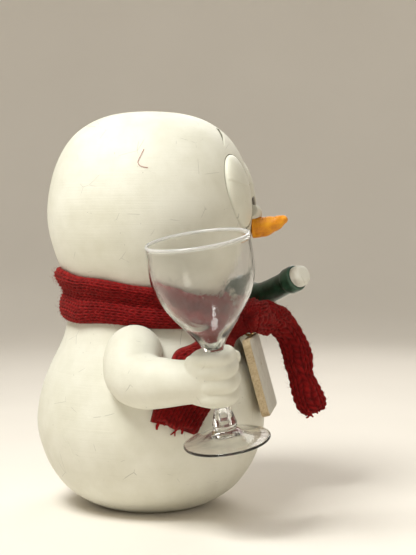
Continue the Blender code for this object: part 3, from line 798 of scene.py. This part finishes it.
def make_goblet():
    plastic = clear_plastic()
    rim = [(123.0, 28.95), (123.7, 29.0), (124.25, 29.3), (124.5, 29.8), (124.3, 30.35), (123.8, 30.75),
           (123.1, 30.85), (122.4, 30.6)]
    cup = through(BOWL_INNER, 6)
    outer = through([(121.6, 30.4), *BOWL_OUTER[1:]], 6)
    socket = [(12.6, 3.1), (22.6, 3.1), (22.6, 0)]
    bowl = revolved("clear_bowl", [*cup, *rim, *outer, *socket], 144, GOBLET_UP, GOBLET_FOOT_AT)
    dress(crisp(bowl, 50), plastic, "goblet", ["goblet_bowl"])
    top = [(21.7, 0), (21.7, 2.5), (21.3, 2.8), (12.3, 2.8), (12.3, 7.0), (12.0, 7.4), (10.9, 7.4),
           (10.6, 7.1), (9.9, 6.5)]
    dish = through(((9.0, 6.7), (7.4, 9.0), (5.6, 12.4), (4.2, 16.4), (3.2, 20.5), (2.6, 24.6)), 8)
    edge = [(2.5, 25.6), (2.1, 26.1), (1.5, 26.25), (0.95, 26.0), (0.75, 25.4)]
    under = through(((0.9, 24.6), (1.8, 20), (3.0, 13.5), (4.6, 8), (5.1, 4), (5.2, 0)), 8)
    foot = revolved("clear_foot", [*top, *dish, *edge, *under], 144, GOBLET_UP, GOBLET_FOOT_AT)
    dress(crisp(foot, 50), plastic, "goblet_foot", ["goblet_foot"])


def goblet_space():
    outline = through(BOWL_OUTER, 4) + np.array([0, 0.5])
    return revolved("goblet_space", [(124, 0), *outline, (12, 0)], 96, GOBLET_UP, GOBLET_FOOT_AT)


def bottle_space():
    outline = [(-1.2, 9.25), (-8.6, 9.25), (-9.6, 8.25), (-22, 8.15), (-33, 8.65), (-38, 9.95), (-43, 12.95),
               (-48, 14.35), (-79.4, 14.35)]
    return revolved("bottle_space", [(2, 0), (2, 9.25), *outline, (-79.4, 0)], 64, BOTTLE_UP, BOTTLE_LIP_AT)


def make_bottle():
    bore = [(-12, 0), (-12, 4.4), (-0.5, 4.4), (0, 4.9), (0, 7.6)]
    lip = [(-0.25, 8.3), (-0.8, 8.75), (-1.6, 8.95), (-4.6, 8.98), (-7.6, 8.95), (-8.3, 8.75), (-8.8, 8.3)]
    neck = through(((-9.2, 7.95), (-10.4, 7.75), (-16, 7.7), (-23, 7.8), (-30, 8.05), (-35, 8.7), (-39, 10.1),
                    (-43, 12.3), (-46.5, 13.6), (-50, 14)), 7)
    base = [(-56, 14.02), (-66, 14.02), (-75.5, 14), (-77.4, 13.6), (-78.6, 12.6), (-79, 11.2), (-78.4, 9),
            (-77.6, 0)]

    def wobble(points):
        return 0.12 * noise(points, 0.22, 2.2) + 0.05 * noise(points, 0.7, 0.4)

    bottle = revolved("green_bottle", [*bore, *lip, *neck, *base], 112, BOTTLE_UP, BOTTLE_LIP_AT, wobble)
    look = Look("bottle_green", Coat_Weight=0.35, Coat_Roughness=0.25, Specular_IOR_Level=0.5)
    streak = look.noise(150, 5, 0.6)
    colour = look.ramp(streak, (0.32, (0.008, 0.032, 0.016)), (0.5, (0.014, 0.060, 0.032)),
                       (0.75, (0.030, 0.105, 0.060)))
    worn = look.span(look.noise(700, 4), 0.66, 0.74, 0, 0.5)
    look.colour(look.mixed(worn, colour, (0.07, 0.16, 0.11)))
    look.rough(look.span(streak, 0.3, 0.7, 0.28, 0.48))
    look.bumps((look.noise(900, 3), 0.00012), (streak, 0.0004))
    dress(crisp(bottle, 50), look.material, nodes=["wine_bottle"])
    dome = [(FIT + 6.9 * sin(pi / 2 * t), 7.2 * sqrt(1 - t**2.6)) for t in np.linspace(1, 0, 28)]
    plug = [*dome, (FIT, 4.1), (-11.2, 4.1), (-11.6, 3.6), (-11.6, 0)]

    def chips(points):
        high = np.clip(points[:, 2] / 2, 0, 1)
        return high * (0.28 * noise(points, 0.55, 5.0) + 0.15 * noise(points, 1.3, 2.0))

    stopper = revolved("white_stopper", plug, 72, BOTTLE_UP, BOTTLE_LIP_AT, chips)
    skin = paint("stopper_white", (0.78, 0.77, 0.70), (0.66, 0.64, 0.55), 0.2, 0.6)
    dress(crisp(stopper, 50), skin, "stopper", ["bottle_stopper"])


# ---- the sign


def make_sign():
    s = SIGN
    half, corner, low, high = s["width"] / 2, s["corner"], -s["drop"] - s["height"], -s["drop"]
    outline = []
    for cx, cy, start in ((half - corner, high - corner, 0), (corner - half, high - corner, 90),
                          (corner - half, low + corner, 180), (half - corner, low + corner, 270)):
        outline += [(cx, cy, radians(start + a)) for a in np.linspace(0, 90, 13)]
    # Straight runs are cut into short stretches so that the edge can wander.
    ring = []
    for (ax, ay, aa), (bx, by, ba) in zip(outline, outline[1:] + outline[:1]):
        a = np.array([ax + corner * cos(aa), ay + corner * sin(aa)])
        b = np.array([bx + corner * cos(ba), by + corner * sin(ba)])
        n = max(1, int(np.linalg.norm(b - a) / 1.6))
        for k in range(n):
            ring.append((*(a + (b - a) * k / n), aa))
    ring = np.array(ring)
    out = np.stack([np.cos(ring[:, 2]), np.sin(ring[:, 2])], 1)
    soft = 0.12 * noise(np.column_stack([ring[:, :2], np.zeros(len(ring))]), 0.25, 3.0)
    rows = []
    t = s["thick"] / 2
    edge = [(-8, 0), (-1.5, 0), (-0.7, 0.08), (-0.25, 0.3), (-0.05, 0.75), (0, 1.3)]
    profile = [(shift, up - t) for shift, up in edge] + [(shift, t - up) for shift, up in edge[::-1]]
    centre = np.array([0, (low + high) / 2])
    for shift, z in profile:
        flat = ring[:, :2] + out * (max(shift, -2) + soft[:, None] * (shift > -8))
        if shift <= -8:
            flat = centre + (ring[:, :2] - centre) * 0.6
        rows.append(np.column_stack([flat, np.full(len(ring), z)]))
    count = len(rows) * len(ring)
    faces = grid(len(rows), len(ring)) + fans(len(rows), len(ring), count, count + 1)
    verts = np.vstack([*rows, (*centre, -t), (*centre, t)])
    upright = Matrix.Rotation(radians(90 - s["lean"]), 4, "X")
    hinge = Matrix.Translation((0, s["hinge_y"], s["hinge_z"])) @ upright
    board = thing("hanging_sign", mesh_of("hanging_sign", placed(verts, hinge), faces))
    down = np.array((hinge.to_3x3() @ Vector((0, -1, 0))).normalized())
    at = np.array((0, s["hinge_y"], s["hinge_z"]))
    cut(board, rod("screw_hole", at, at + down * 13.4, WIRE_HOLE))
    look = Look("sign_wood", Specular_IOR_Level=0.3)
    grain = look.noise(1.0, 6, 0.6, look.stretched((55, 900, 900)))
    wood = look.ramp(grain, (0.34, (0.38, 0.28, 0.16)), (0.52, (0.50, 0.39, 0.24)), (0.7, (0.57, 0.46, 0.30)))
    facing = look.along(look.node("TexCoord").outputs["Normal"], hinge.to_3x3() @ Vector((0, 0, 1)))
    coat = look.ramp(look.noise(130, 5, 0.6), (0.3, (0.58, 0.55, 0.48)), (0.7, (0.70, 0.68, 0.61)))
    worn = look.product(look.span(facing, 0.9, 0.99), look.span(look.noise(260, 5, 0.7), 0.70, 0.62))
    look.colour(look.mixed(worn, wood, coat))
    look.rough(look.span(grain, 0.3, 0.7, 0.6, 0.8))
    look.bumps((grain, 0.0003), (look.noise(800, 3), 0.0001))
    dress(crisp(board, 30), look.material, "sign", ["sign_board"])
    make_hanger(at, down)


def make_hanger(at, down):
    """The screw eye in the sign's top edge and the staple that it swings on."""
    brass = Look("aged_brass", Metallic=1.0)
    stain = brass.noise(400, 5, 0.6)
    brass.colour(brass.ramp(stain, (0.3, (0.36, 0.23, 0.09)), (0.6, (0.72, 0.52, 0.24))))
    brass.rough(brass.span(stain, 0.3, 0.7, 0.42, 0.24))
    brass.bumps((brass.noise(2500, 3), 0.00003))
    loop = [at + 2.7 * np.array((0, cos(a), sin(a))) for a in np.linspace(-pi / 2 - 2.9, -pi / 2 + 2.9, 60)]
    eye = swept("screw_eye_loop", loop, np.full(60, WIRE), 16, 3)

    def thread(run, angles):
        groove = 0.14 * (0.5 + 0.5 * np.cos(angles - run * 2 * pi / 0.9))
        return -groove if run > 4 else 0 * angles

    run = np.linspace(2.7, 12.6, 90)
    taper = np.interp(run, (2.7, 11, 12.6), (WIRE, 0.78, 0.35))
    shank = swept("shank", [at + down * r for r in run], taper, 16, 2, thread)
    screw = joined("screw_eye", [eye, shank])
    dress(crisp(screw, 60), brass.material, "sign", ["sign_screw_eye"])
    leg = [np.array((x, y, 0)) for x, y in ((6, 15.6), (6, 8), (6, 1.6), (5.5, 0.4), (4.4, 0))]
    other = [p * (-1, 1, 1) for p in leg]
    legs = through([at + p for p in (*other, np.zeros(3), *leg[::-1])], 6)
    staple = swept("wire_staple", legs, np.full(len(legs), WIRE), 16, 3)
    dress(crisp(staple, 60), brass.material, "root", ["sign_hanger"])


# ---- the scarf

SCARF_LOW = (119.5, 124)
SCARF_HIGH = (138.0, 157.5)
KNIT = 1.7  # how far a stitch stands out of the groove beside it
PLAIN_STITCH_HEIGHT = 0.3  # the stitch height given to wool that shows no stitch, which sets how dark its painted groove shade is
FIBRES = 9300
TUFTS = (10, 6)  # yarn ends on the left and the right tail
ROLLS = ((0, 0), (0.05, 2.0), (0.13, 3.2), (0.27, 3.0), (0.40, 1.7), (0.55, -0.2), (0.70, 1.8), (0.85, 3.5),
         (0.94, 2.6), (1, 0))


def stocking(across, along):
    """The height of stocking stitch from 0 to 1, with across counting wales and along counting courses."""
    leg = np.abs(across - np.floor(across) - 0.5)
    strand = np.sqrt(np.clip(np.sin(2 * pi * leg), 0, 1))
    return strand * (0.25 + 0.75 * np.abs(np.cos(pi * (along + 0.95 * 2 * leg))) ** 0.7)


def slope(points, axis, closed):
    if closed:
        return np.roll(points, -1, axis) - np.roll(points, 1, axis)
    return np.gradient(points, axis=axis)


def grid_normals(points, close_rows, close_cols):
    """Unit normals of a rows × cols × 3 array of points."""
    return unit(np.cross(slope(points, 0, close_rows), slope(points, 1, close_cols)))


def standing(radius, angle, z):
    """Points at these radii and heights round the figure, with angle 0 in front."""
    return np.stack([radius * np.sin(angle), -radius * np.cos(angle), z], -1)


def radius_of(outline, z):
    p = through(outline, 8)[::-1]
    return np.interp(z, p[:, 0], p[:, 1])


def wood_at(z):
    """The radius of the turned wood at these heights."""
    head = radius_of(HEAD_OUTLINE, np.maximum(z, NECK_Z + 0.5))
    return np.where(z < NECK_Z, radius_of(BODY_OUTLINE, z), head)


def off_the_wood(points, gap=0.2):
    """Keeps wool out of the wood."""
    flat = np.hypot(points[..., 0], points[..., 1])
    least = wood_at(points[..., 2]) + gap
    points[..., :2] *= (np.maximum(flat, least) / flat)[..., None]
    return points


class Cloth:
    """Gathers knitted shells, and the spots where fuzz can grow."""

    def __init__(self):
        self.verts, self.faces, self.tones, self.count = [], [], [], 0
        self.spots, self.outs, self.runs = [], [], []

    def add(self, points, faces, tone):
        flat = points.reshape(-1, 3)
        self.tones.append(np.concatenate([tone.ravel(), np.full(len(flat) - tone.size, PLAIN_STITCH_HEIGHT)]))
        if volume(flat, faces) < 0:
            faces = [f[::-1] for f in faces]
        self.faces += [[i + self.count for i in f] for f in faces]
        self.verts.append(flat)
        self.count += len(flat)

    def grow(self, points, outs, runs):
        """Keeps these spots of a grid, their normals and the way the knitting runs."""
        for kept, given in ((self.spots, points), (self.outs, outs), (self.runs, runs)):
            kept.append(given.reshape(-1, 3))


def wound(cloth):
    """The part wound round the neck: two rolls with a crease between them, higher behind."""
    turns, outer, inner = 610, 66, 14
    a = turn_round(turns)
    behind = 0.5 - 0.5 * np.cos(a)
    low = SCARF_LOW[0] + (SCARF_LOW[1] - SCARF_LOW[0]) * behind
    high = SCARF_HIGH[0] + (SCARF_HIGH[1] - SCARF_HIGH[0]) * behind
    low = low + 0.7 * np.sin(3 * a + 0.6) + 0.5 * np.sin(7 * a + 2)
    high = high + 0.6 * np.sin(4 * a + 1.1) + 0.5 * np.sin(9 * a + 0.3)
    w = np.linspace(0, 1, outer)
    z = low[:, None] + (high - low)[:, None] * w
    edge = wood_at(np.stack([low, high], 1)) + 1.0 + 1.8 * (1 - behind[:, None]) ** 2
    straight = edge[:, :1] + (edge[:, 1:] - edge[:, :1]) * w
    table = through(ROLLS, 6)
    rolls = np.interp(w, table[:, 0], table[:, 1])
    wander = 0.9 * noise(np.stack([40 * np.cos(a), 40 * np.sin(a), 0 * a], 1), 0.06, 0.7)
    rolls = rolls[None, :] * (1 + 0.12 * wander[:, None])
    r = np.maximum(straight + rolls, wood_at(z) + 0.9)
    place = standing(r, a[:, None], z)
    n = grid_normals(place, True, False)
    n = n * np.sign((n * standing(1, a, 0 * a)[:, None, :]).sum(2, keepdims=True))
    soft = noise(place.reshape(-1, 3), 0.16, 2.0).reshape(turns, outer)
    across = 8 * w[None, :] + 0.2 * soft
    along = (a / (2 * pi) * 90)[:, None] + 0.6 * soft
    fade = np.clip(np.minimum(w, 1 - w) / 0.03, 0, 1)
    stitch = stocking(across, along)
    lift = 0.6 * soft + KNIT * (stitch - 0.5)
    place = off_the_wood(place + n * (lift * fade)[..., None], 0.55)
    back = np.linspace(1, 0, inner + 2)[1:-1]
    zi = low[:, None] + (high - low)[:, None] * back
    pick = np.interp(back, w, np.arange(outer)).round().astype(int)
    ri = np.maximum(wood_at(zi) + 0.4, r[:, pick] - 6.5)
    ri = np.minimum(ri, np.hypot(place[:, pick, 0], place[:, pick, 1]) - 0.15)
    ring = np.concatenate([place, standing(ri, a[:, None], zi)], 1)
    tone = np.concatenate([stitch, np.full((turns, inner), PLAIN_STITCH_HEIGHT)], 1)
    cloth.add(ring, grid(turns, outer + inner, True, True), tone)
    runs = np.broadcast_to(np.stack([np.cos(a), np.sin(a), 0 * a], 1)[:, None, :], place.shape)
    cloth.grow(place[:, 2:-2], n[:, 2:-2], runs[:, 2:-2])


def capped(points, faces):
    """Closes the first and last rows of an open tube with fans."""
    rows, cols = points.shape[:2]
    flat = points.reshape(-1, 3)
    ends = fans(rows, cols, len(flat), len(flat) + 1)
    return np.vstack([flat, flat[:cols].mean(0), flat[-cols:].mean(0)]), faces + ends


def over_the_sign(points, room=0.65):
    """Lifts the wool by the hinge to where the sign's top edge clears it at the end of its swing."""
    x, y, z = points[..., 0], points[..., 1] - SIGN["hinge_y"], points[..., 2] - SIGN["hinge_z"]
    swung = radians(SIGN["lean"] + SIGN["swing"])
    over_face = (SIGN["thick"] / 2 + room + y * cos(swung)) / sin(swung)
    over_edge = -(SIGN["drop"] - room + y * sin(swung)) / cos(swung)
    least = np.minimum(over_face, over_edge) - 0.5 * np.maximum(np.abs(x) - 16, 0)
    points[..., 2] += np.where(z > -7, np.maximum(least - z, 0), 0)
    return points


def knit_tube(cloth, ring, wales, courses, depth, seed):
    """Adds an open tube of rings as knitting, capped at both ends."""
    rows, cols = ring.shape[:2]
    n = grid_normals(ring, False, True)
    centre = ring.mean(1, keepdims=True)
    if ((ring - centre) * n).sum() < 0:
        n = -n
    soft = noise(ring.reshape(-1, 3), 0.2, seed).reshape(rows, cols)
    across = np.arange(cols)[None, :] / cols * wales + 0.25 * soft
    along = np.linspace(0, courses, rows)[:, None] + 0.7 * soft
    stitch = stocking(across, along)
    lift = 0.7 * soft + depth * (stitch - 0.5) * (1 + 0.4 * soft)
    shaped = over_the_sign(ring + n * lift[..., None])
    points, faces = capped(shaped, grid(rows, cols))
    cloth.add(points, faces, stitch)
    cloth.grow(shaped, n, unit(np.gradient(shaped, axis=0)))
    return shaped


def left_tail(cloth):
    """The longer end, which hangs forward of the body."""
    path = through(((-9, -70.5, 123.6, 20), (2, -74.5, 123.8, 22.5), (11, -76.5, 124.2, 21.5),
                    (19, -78.8, 123.2, 20.5), (28.5, -83, 119.6, 18.5), (35.5, -88.8, 112, 17.5),
                    (38, -93.2, 102, 19), (39.5, -95.8, 92, 18.5), (40.5, -97.5, 82, 16.5),
                    (41, -101.5, 71, 19.5), (41.5, -105.5, 61, 19), (41.5, -107, 57, 14)), 18)
    rows, cols = len(path), 88
    run = unit(np.gradient(path[:, :3], axis=0))
    right = np.array((-1.0, 0, 0))
    facing = unit(right - run * (run @ right)[:, None])
    wide = np.cross(run, facing)
    t = np.linspace(0, 1, rows)
    curl = 0.25 * np.sin(5 * t + 0.4)
    turned = facing * np.cos(curl)[:, None] + wide * np.sin(curl)[:, None]
    wide = np.cross(run, turned)
    angle = turn_round(cols)
    side, rise = bulged(np.cos(angle), 0.75), bulged(np.sin(angle), 0.75)
    thick = np.interp(t, (0, 0.1, 0.2, 0.8, 0.95, 1), (6, 8.6, 8.8, 8.2, 8.4, 5.0))
    ring = (path[:, None, :3] + wide[:, None] * (side * path[:, 3:4] / 2)[..., None]
            + turned[:, None] * (rise * thick[:, None] / 2)[..., None])
    ragged = 1.6 * noise(np.stack([6 * np.cos(angle), 6 * np.sin(angle), 0 * angle], 1), 1.1, 1.7)
    ring = ring + run[:, None] * (np.clip((t - 0.93) / 0.07, 0, 1)[:, None] * ragged)[..., None]
    shaped = knit_tube(cloth, ring, 9, 23, 2.1, 3.0)
    return shaped[-1], run[-1]


def right_tail(cloth):
    """The shorter end, which lies along the body."""
    left = through(((-5, -61, 136.5), (-16, -60, 132), (-30, -54, 124.5), (-48.6, -38.3, 112.2),
                    (-58.8, -26.5, 106.4), (-67.8, -22.0, 89.5), (-73.4, -16.5, 77),
                    (-75.8, -13.6, 68.0)), 22)
    right = through(((-4.5, -61.5, 114.5), (-12, -61.5, 113.0), (-21, -61.5, 110.0), (-31, -59.5, 103),
                     (-42, -57, 91), (-54, -52, 78), (-61.5, -46.5, 68), (-66.7, -41, 58.4)), 22)
    rows = len(left)
    t = np.linspace(0, 1, rows)
    outer, inner = 56, 18
    c = np.linspace(0, 1, outer)
    la, ra = (np.arctan2(p[:, 0], -p[:, 1]) for p in (left, right))
    angle = la[:, None] + (ra - la)[:, None] * c
    z = left[:, 2:] + (right[:, 2] - left[:, 2])[:, None] * c
    ragged = 2.2 * noise(np.stack([c * 9, 0 * c, 0 * c], 1), 1.3, 0.4)
    z = z - np.clip((t - 0.9) / 0.1, 0, 1)[:, None] * ragged
    round_off = np.clip((t - 0.96) / 0.04, 0, 1)
    thick = (5.2 + 0.8 * np.sin(2.2 * pi * c + 0.6))[None, :] * (1 - np.abs(2 * c - 1) ** 3.2)[None, :] ** 0.5
    thick = thick * (1 - 0.55 * round_off**2)[:, None]
    lifted = np.interp(t, (0, 0.12, 0.3), (7.2, 6.2, 0))[:, None]
    base = wood_at(z) + 0.5 + lifted * np.clip((z - 108) / 12, 0.35, 1)
    soft = noise(np.stack([angle.ravel() * 60, z.ravel(), 0 * z.ravel()], 1), 0.17, 5.0).reshape(rows, outer)
    across = 7 * c[None, :] + 0.2 * soft
    along = np.linspace(0, 24, rows)[:, None] + 0.6 * soft
    shape = np.clip(thick / 2.5, 0, 1)
    stitch = stocking(across, along)
    r = base + np.maximum(thick + shape * (0.6 * soft + KNIT * (stitch - 0.5)), 0.12)
    place = standing(r, angle, z)
    pick = np.linspace(outer - 2, 1, inner).round().astype(int)
    within = standing(base, angle, z)[:, pick]
    points, faces = capped(np.concatenate([place, within], 1), grid(rows, outer + inner))
    tone = np.concatenate([stitch, np.full((rows, inner), PLAIN_STITCH_HEIGHT)], 1)
    cloth.add(points, faces, tone)
    n = grid_normals(place, False, False)
    n = n * np.sign((n * standing(1, angle, 0 * angle)).sum(2, keepdims=True))
    runs = unit(np.gradient(place, axis=0))
    cloth.grow(place[:, 2:-2], n[:, 2:-2], runs[:, 2:-2])
    return place[-1], (runs[-1].mean(0) + np.array((0, 0, -0.2)))


def knot(cloth):
    """The tie: a fold of the knitting drawn over the crossing ends, creased where it turns under."""
    rows, cols = 64, 96
    lat = np.linspace(-0.94, 0.94, rows) * pi / 2
    lon = turn_round(cols)
    shape = np.abs(np.cos(lat)) ** 0.8
    x = 14.8 * bulged(np.sin(lat), 0.85)
    y = -7.4 * shape[:, None] * bulged(np.cos(lon), 0.8)
    z = 11.2 * shape[:, None] * bulged(np.sin(lon), 0.8)
    ring = np.stack([np.broadcast_to(x[:, None], y.shape), y, z], 2)
    pinch = 1 - 0.11 * np.exp(-(((x + 5.2) / 1.7) ** 2)) - 0.13 * np.exp(-(((x - 6.0) / 1.6) ** 2))
    pinch = pinch[:, None] * (1 + 0.05 * np.cos(3 * lon[None, :] + x[:, None] * 0.25))
    ring[..., 1:] *= pinch[..., None]
    ring = ring + np.array((-1, -67.4, 125.4))
    # The screw eye below keeps its room to swing.
    low = (ring[..., 2] < 120.6) & (np.abs(ring[..., 0]) < 9)
    ring[..., 1] = np.where(low, np.minimum(ring[..., 1], -70.9), ring[..., 1])
    knit_tube(cloth, ring, 11, 8, 1.6, 6.0)


def yarn(points, radius, sides=3):
    """The rings of many strands at once: points is strands × steps × 3, radius strands × steps."""
    run = unit(np.gradient(points, axis=1))
    side = unit(np.cross(run, np.array((0.31, 0.22, 0.92))))
    other = np.cross(run, side)
    a = turn_round(sides)
    ring = (points[:, :, None] + side[:, :, None] * (np.cos(a) * radius[..., None])[..., None]
            + other[:, :, None] * (np.sin(a) * radius[..., None])[..., None])
    count, steps = points.shape[:2]
    start = (np.arange(count) * steps * sides)[:, None]
    quads = np.array(grid(steps, sides)).reshape(1, -1)
    faces = (start + quads).reshape(-1, 4).tolist()
    ends = np.array([list(range(sides)), list(range(steps * sides - 1, (steps - 1) * sides - 1, -1))])
    faces += (start[:, None] + ends.reshape(1, 2, sides)).reshape(-1, sides).tolist()
    return ring.reshape(-1, 3), faces


def make_scarf():
    cloth = Cloth()
    wound(cloth)
    knot(cloth)
    tips = [left_tail(cloth), right_tail(cloth)]
    mesh = plain_mesh("scarf", np.vstack(cloth.verts), cloth.faces)
    mesh.attributes.new("stitch", "FLOAT", "POINT").data.foreach_set("value", np.concatenate(cloth.tones))
    scarf = thing("knitted_scarf", mesh)
    wool = Look("red_wool_knit", Specular_IOR_Level=0.15, Sheen_Weight=0.25, Sheen_Roughness=0.5)
    wool.shader.inputs["Sheen Tint"].default_value = (1.0, 0.35, 0.30, 1)
    heather = wool.noise(220, 5, 0.6)
    colour = wool.ramp(heather, (0.28, (0.15, 0.0025, 0.003)), (0.5, (0.24, 0.004, 0.005)),
                       (0.75, (0.34, 0.009, 0.008)))
    # Painted shade: the wool is darkened where the stitch height is low, in the grooves between stitches and
    # on wool that shows no stitch.
    stitch = wool.node("Attribute", attribute_name="stitch").outputs["Fac"]
    colour = wool.mixed(wool.span(stitch, 0.75, 0.1, 0, 0.85), colour, (0.045, 0.0006, 0.001))
    fibre = wool.noise(2600, 3, 0.6)
    wool.colour(wool.mixed(wool.span(fibre, 0.42, 0.28, 0, 0.5), colour, (0.07, 0.001, 0.002)))
    wool.rough(wool.span(fibre, 0.3, 0.7, 0.95, 0.8))
    wool.bumps((fibre, 0.0004), (wool.noise(1100, 3), 0.0004))
    dress(scarf, wool.material,
          nodes=["scarf_wrap", "scarf_knot", "scarf_tail_left", "scarf_tail_right"])
    fuzz = make_fuzz([short_fibres(cloth), *tufts(tips)])


def short_fibres(cloth):
    """The fine hairs all over the knitting."""
    spots, outs, runs = (np.vstack(x) for x in (cloth.spots, cloth.outs, cloth.runs))
    pick = rng.choice(len(spots), FIBRES, replace=False)
    spots, outs, runs = spots[pick], outs[pick], runs[pick]
    count = len(spots)
    length = rng.gamma(3.0, 0.42, count)[:, None] + 0.4
    lean = runs * rng.normal(0, 1, count)[:, None] + np.cross(runs, outs) * rng.normal(0, 0.8, count)[:, None]
    lean = unit(lean)
    lift = rng.uniform(0.15, 0.75, count)[:, None]
    curl = rng.normal(0, 0.35, (count, 3))
    steps = np.linspace(0, 1, 4)
    lines = (spots[:, None] - outs[:, None] * 0.15
             + (lean * length)[:, None] * steps[None, :, None]
             + (outs * lift * length)[:, None] * np.sin(steps * 1.9)[None, :, None]
             + (curl * length)[:, None] * (steps**2)[None, :, None])
    lines = over_the_sign(off_the_wood(lines), 1.4)
    return yarn(lines, np.full(lines.shape[:2], 0.042) * np.array((1, 0.95, 0.8, 0.45)))


def tufts(tips):
    """The thicker yarn ends at the edges of the tails."""
    pieces = []
    for strands, (edge, run) in zip(TUFTS, tips):
        at = edge[rng.integers(0, len(edge), strands)]
        middle = edge.mean(0)
        run = unit(run)
        reach = rng.uniform(1.0, 3.8, strands)[:, None]
        spread = rng.normal(0, 0.55, (strands, 3))
        steps = np.linspace(-0.4, 1, 9)
        start = at + (middle - at) * 0.25
        lines = (start[:, None] + (run * reach)[:, None] * steps[None, :, None]
                 + (spread * reach)[:, None] * (np.clip(steps, 0, 1) ** 1.5)[None, :, None])
        wave = np.sin(steps[None, :] * 5 + rng.uniform(0, 6, strands)[:, None]) * 0.25
        lines = off_the_wood(lines + wave[..., None] * rng.normal(0, 1, (strands, 1, 3)))
        size = rng.uniform(0.5, 1.1, strands)[:, None] * np.interp(steps, (-0.4, 0.5, 1), (1, 1.0, 0.6))
        pieces.append(yarn(lines, size, 6))
    return pieces


def make_fuzz(pieces):
    faces, count = [], 0
    for verts, quads in pieces:
        faces += [[i + count for i in q] for q in quads]
        count += len(verts)
    fuzz = thing("scarf_fuzz", plain_mesh("fuzz", np.vstack([verts for verts, _ in pieces]), faces))
    hair = Look("red_wool_fibre", Specular_IOR_Level=0.15, Roughness=0.9)
    hair.colour(hair.ramp(hair.noise(500, 3), (0.3, (0.20, 0.004, 0.005)), (0.7, (0.36, 0.012, 0.011))))
    hair.bumps((hair.noise(5000, 2), 0.00005))
    return dress(fuzz, hair.material)


# ---- putting it together


def make_fibre():
    """A stray thread of red wool on the head."""
    line = through(((-58.8, -6.8, 232.0), (-60.6, -5.3, 228.2), (-62.7, -3.8, 223.8), (-63.6, -5.9, 221.3),
                    (-63.3, -10.1, 220.4)), 8)
    flat = np.hypot(line[:, 0], line[:, 1])
    stand = 0.16 + 0.25 * np.abs(np.sin(np.linspace(0, 7, len(line))))
    line[:, :2] *= ((radius_of(HEAD_OUTLINE, line[:, 2]) + stand) / flat)[:, None]
    fibre = swept("stray_red_fibre", line, np.full(len(line), 0.13), 10, 3)
    look = Look("stray_fibre_red", Roughness=0.85)
    look.colour(look.ramp(look.noise(1500, 2), (0.3, (0.30, 0.03, 0.025)), (0.7, (0.50, 0.08, 0.06))))
    look.bumps((look.noise(6000, 2), 0.00003))
    dress(fibre, look.material)


def dowel_wood():
    look = Look("beech_grain", Specular_IOR_Level=0.3)
    grain = look.noise(1.0, 5, 0.6, look.stretched((140, 900, 900)))
    flecks = look.span(look.cells(600), 0.12, 0.06)
    wood = look.ramp(grain, (0.3, (0.42, 0.26, 0.13)), (0.7, (0.62, 0.44, 0.26)))
    look.colour(look.mixed(look.product(flecks, 0.35), wood, (0.28, 0.15, 0.07)))
    look.rough(look.span(grain, 0.3, 0.7, 0.55, 0.75))
    look.bumps((grain, 0.0002))
    return look.material


def build():
    set_up_studio()
    make_body(paint("body_cream", CREAM, CREAM_DARK, 0.6))
    make_head(paint("head_cream", CREAM, CREAM_DARK, 0.6))
    make_eyes()
    for side, word in ((-1, "right"), (1, "left")):
        make_brow(side, word)
    make_nose()
    make_arm("right", ARM_RIGHT, FIST_RIGHT_AT, GOBLET_UP, [body_space(), shoulder_space(-1), goblet_space()],
             paint("arm_cream_right", CREAM, CREAM_DARK, 0.4))
    make_arm("left", ARM_LEFT, FIST_LEFT_AT, BOTTLE_UP, [body_space(), shoulder_space(1), bottle_space()],
             paint("arm_cream_left", CREAM, CREAM_DARK, 0.4))
    make_goblet()
    make_bottle()
    make_sign()
    make_scarf()
    make_fibre()
    beech = dowel_wood()
    for name in ("neck_dowel", "shoulder_dowel_right", "shoulder_dowel_left"):
        for slot in bpy.data.objects[name].material_slots:
            slot.material = beech


build()
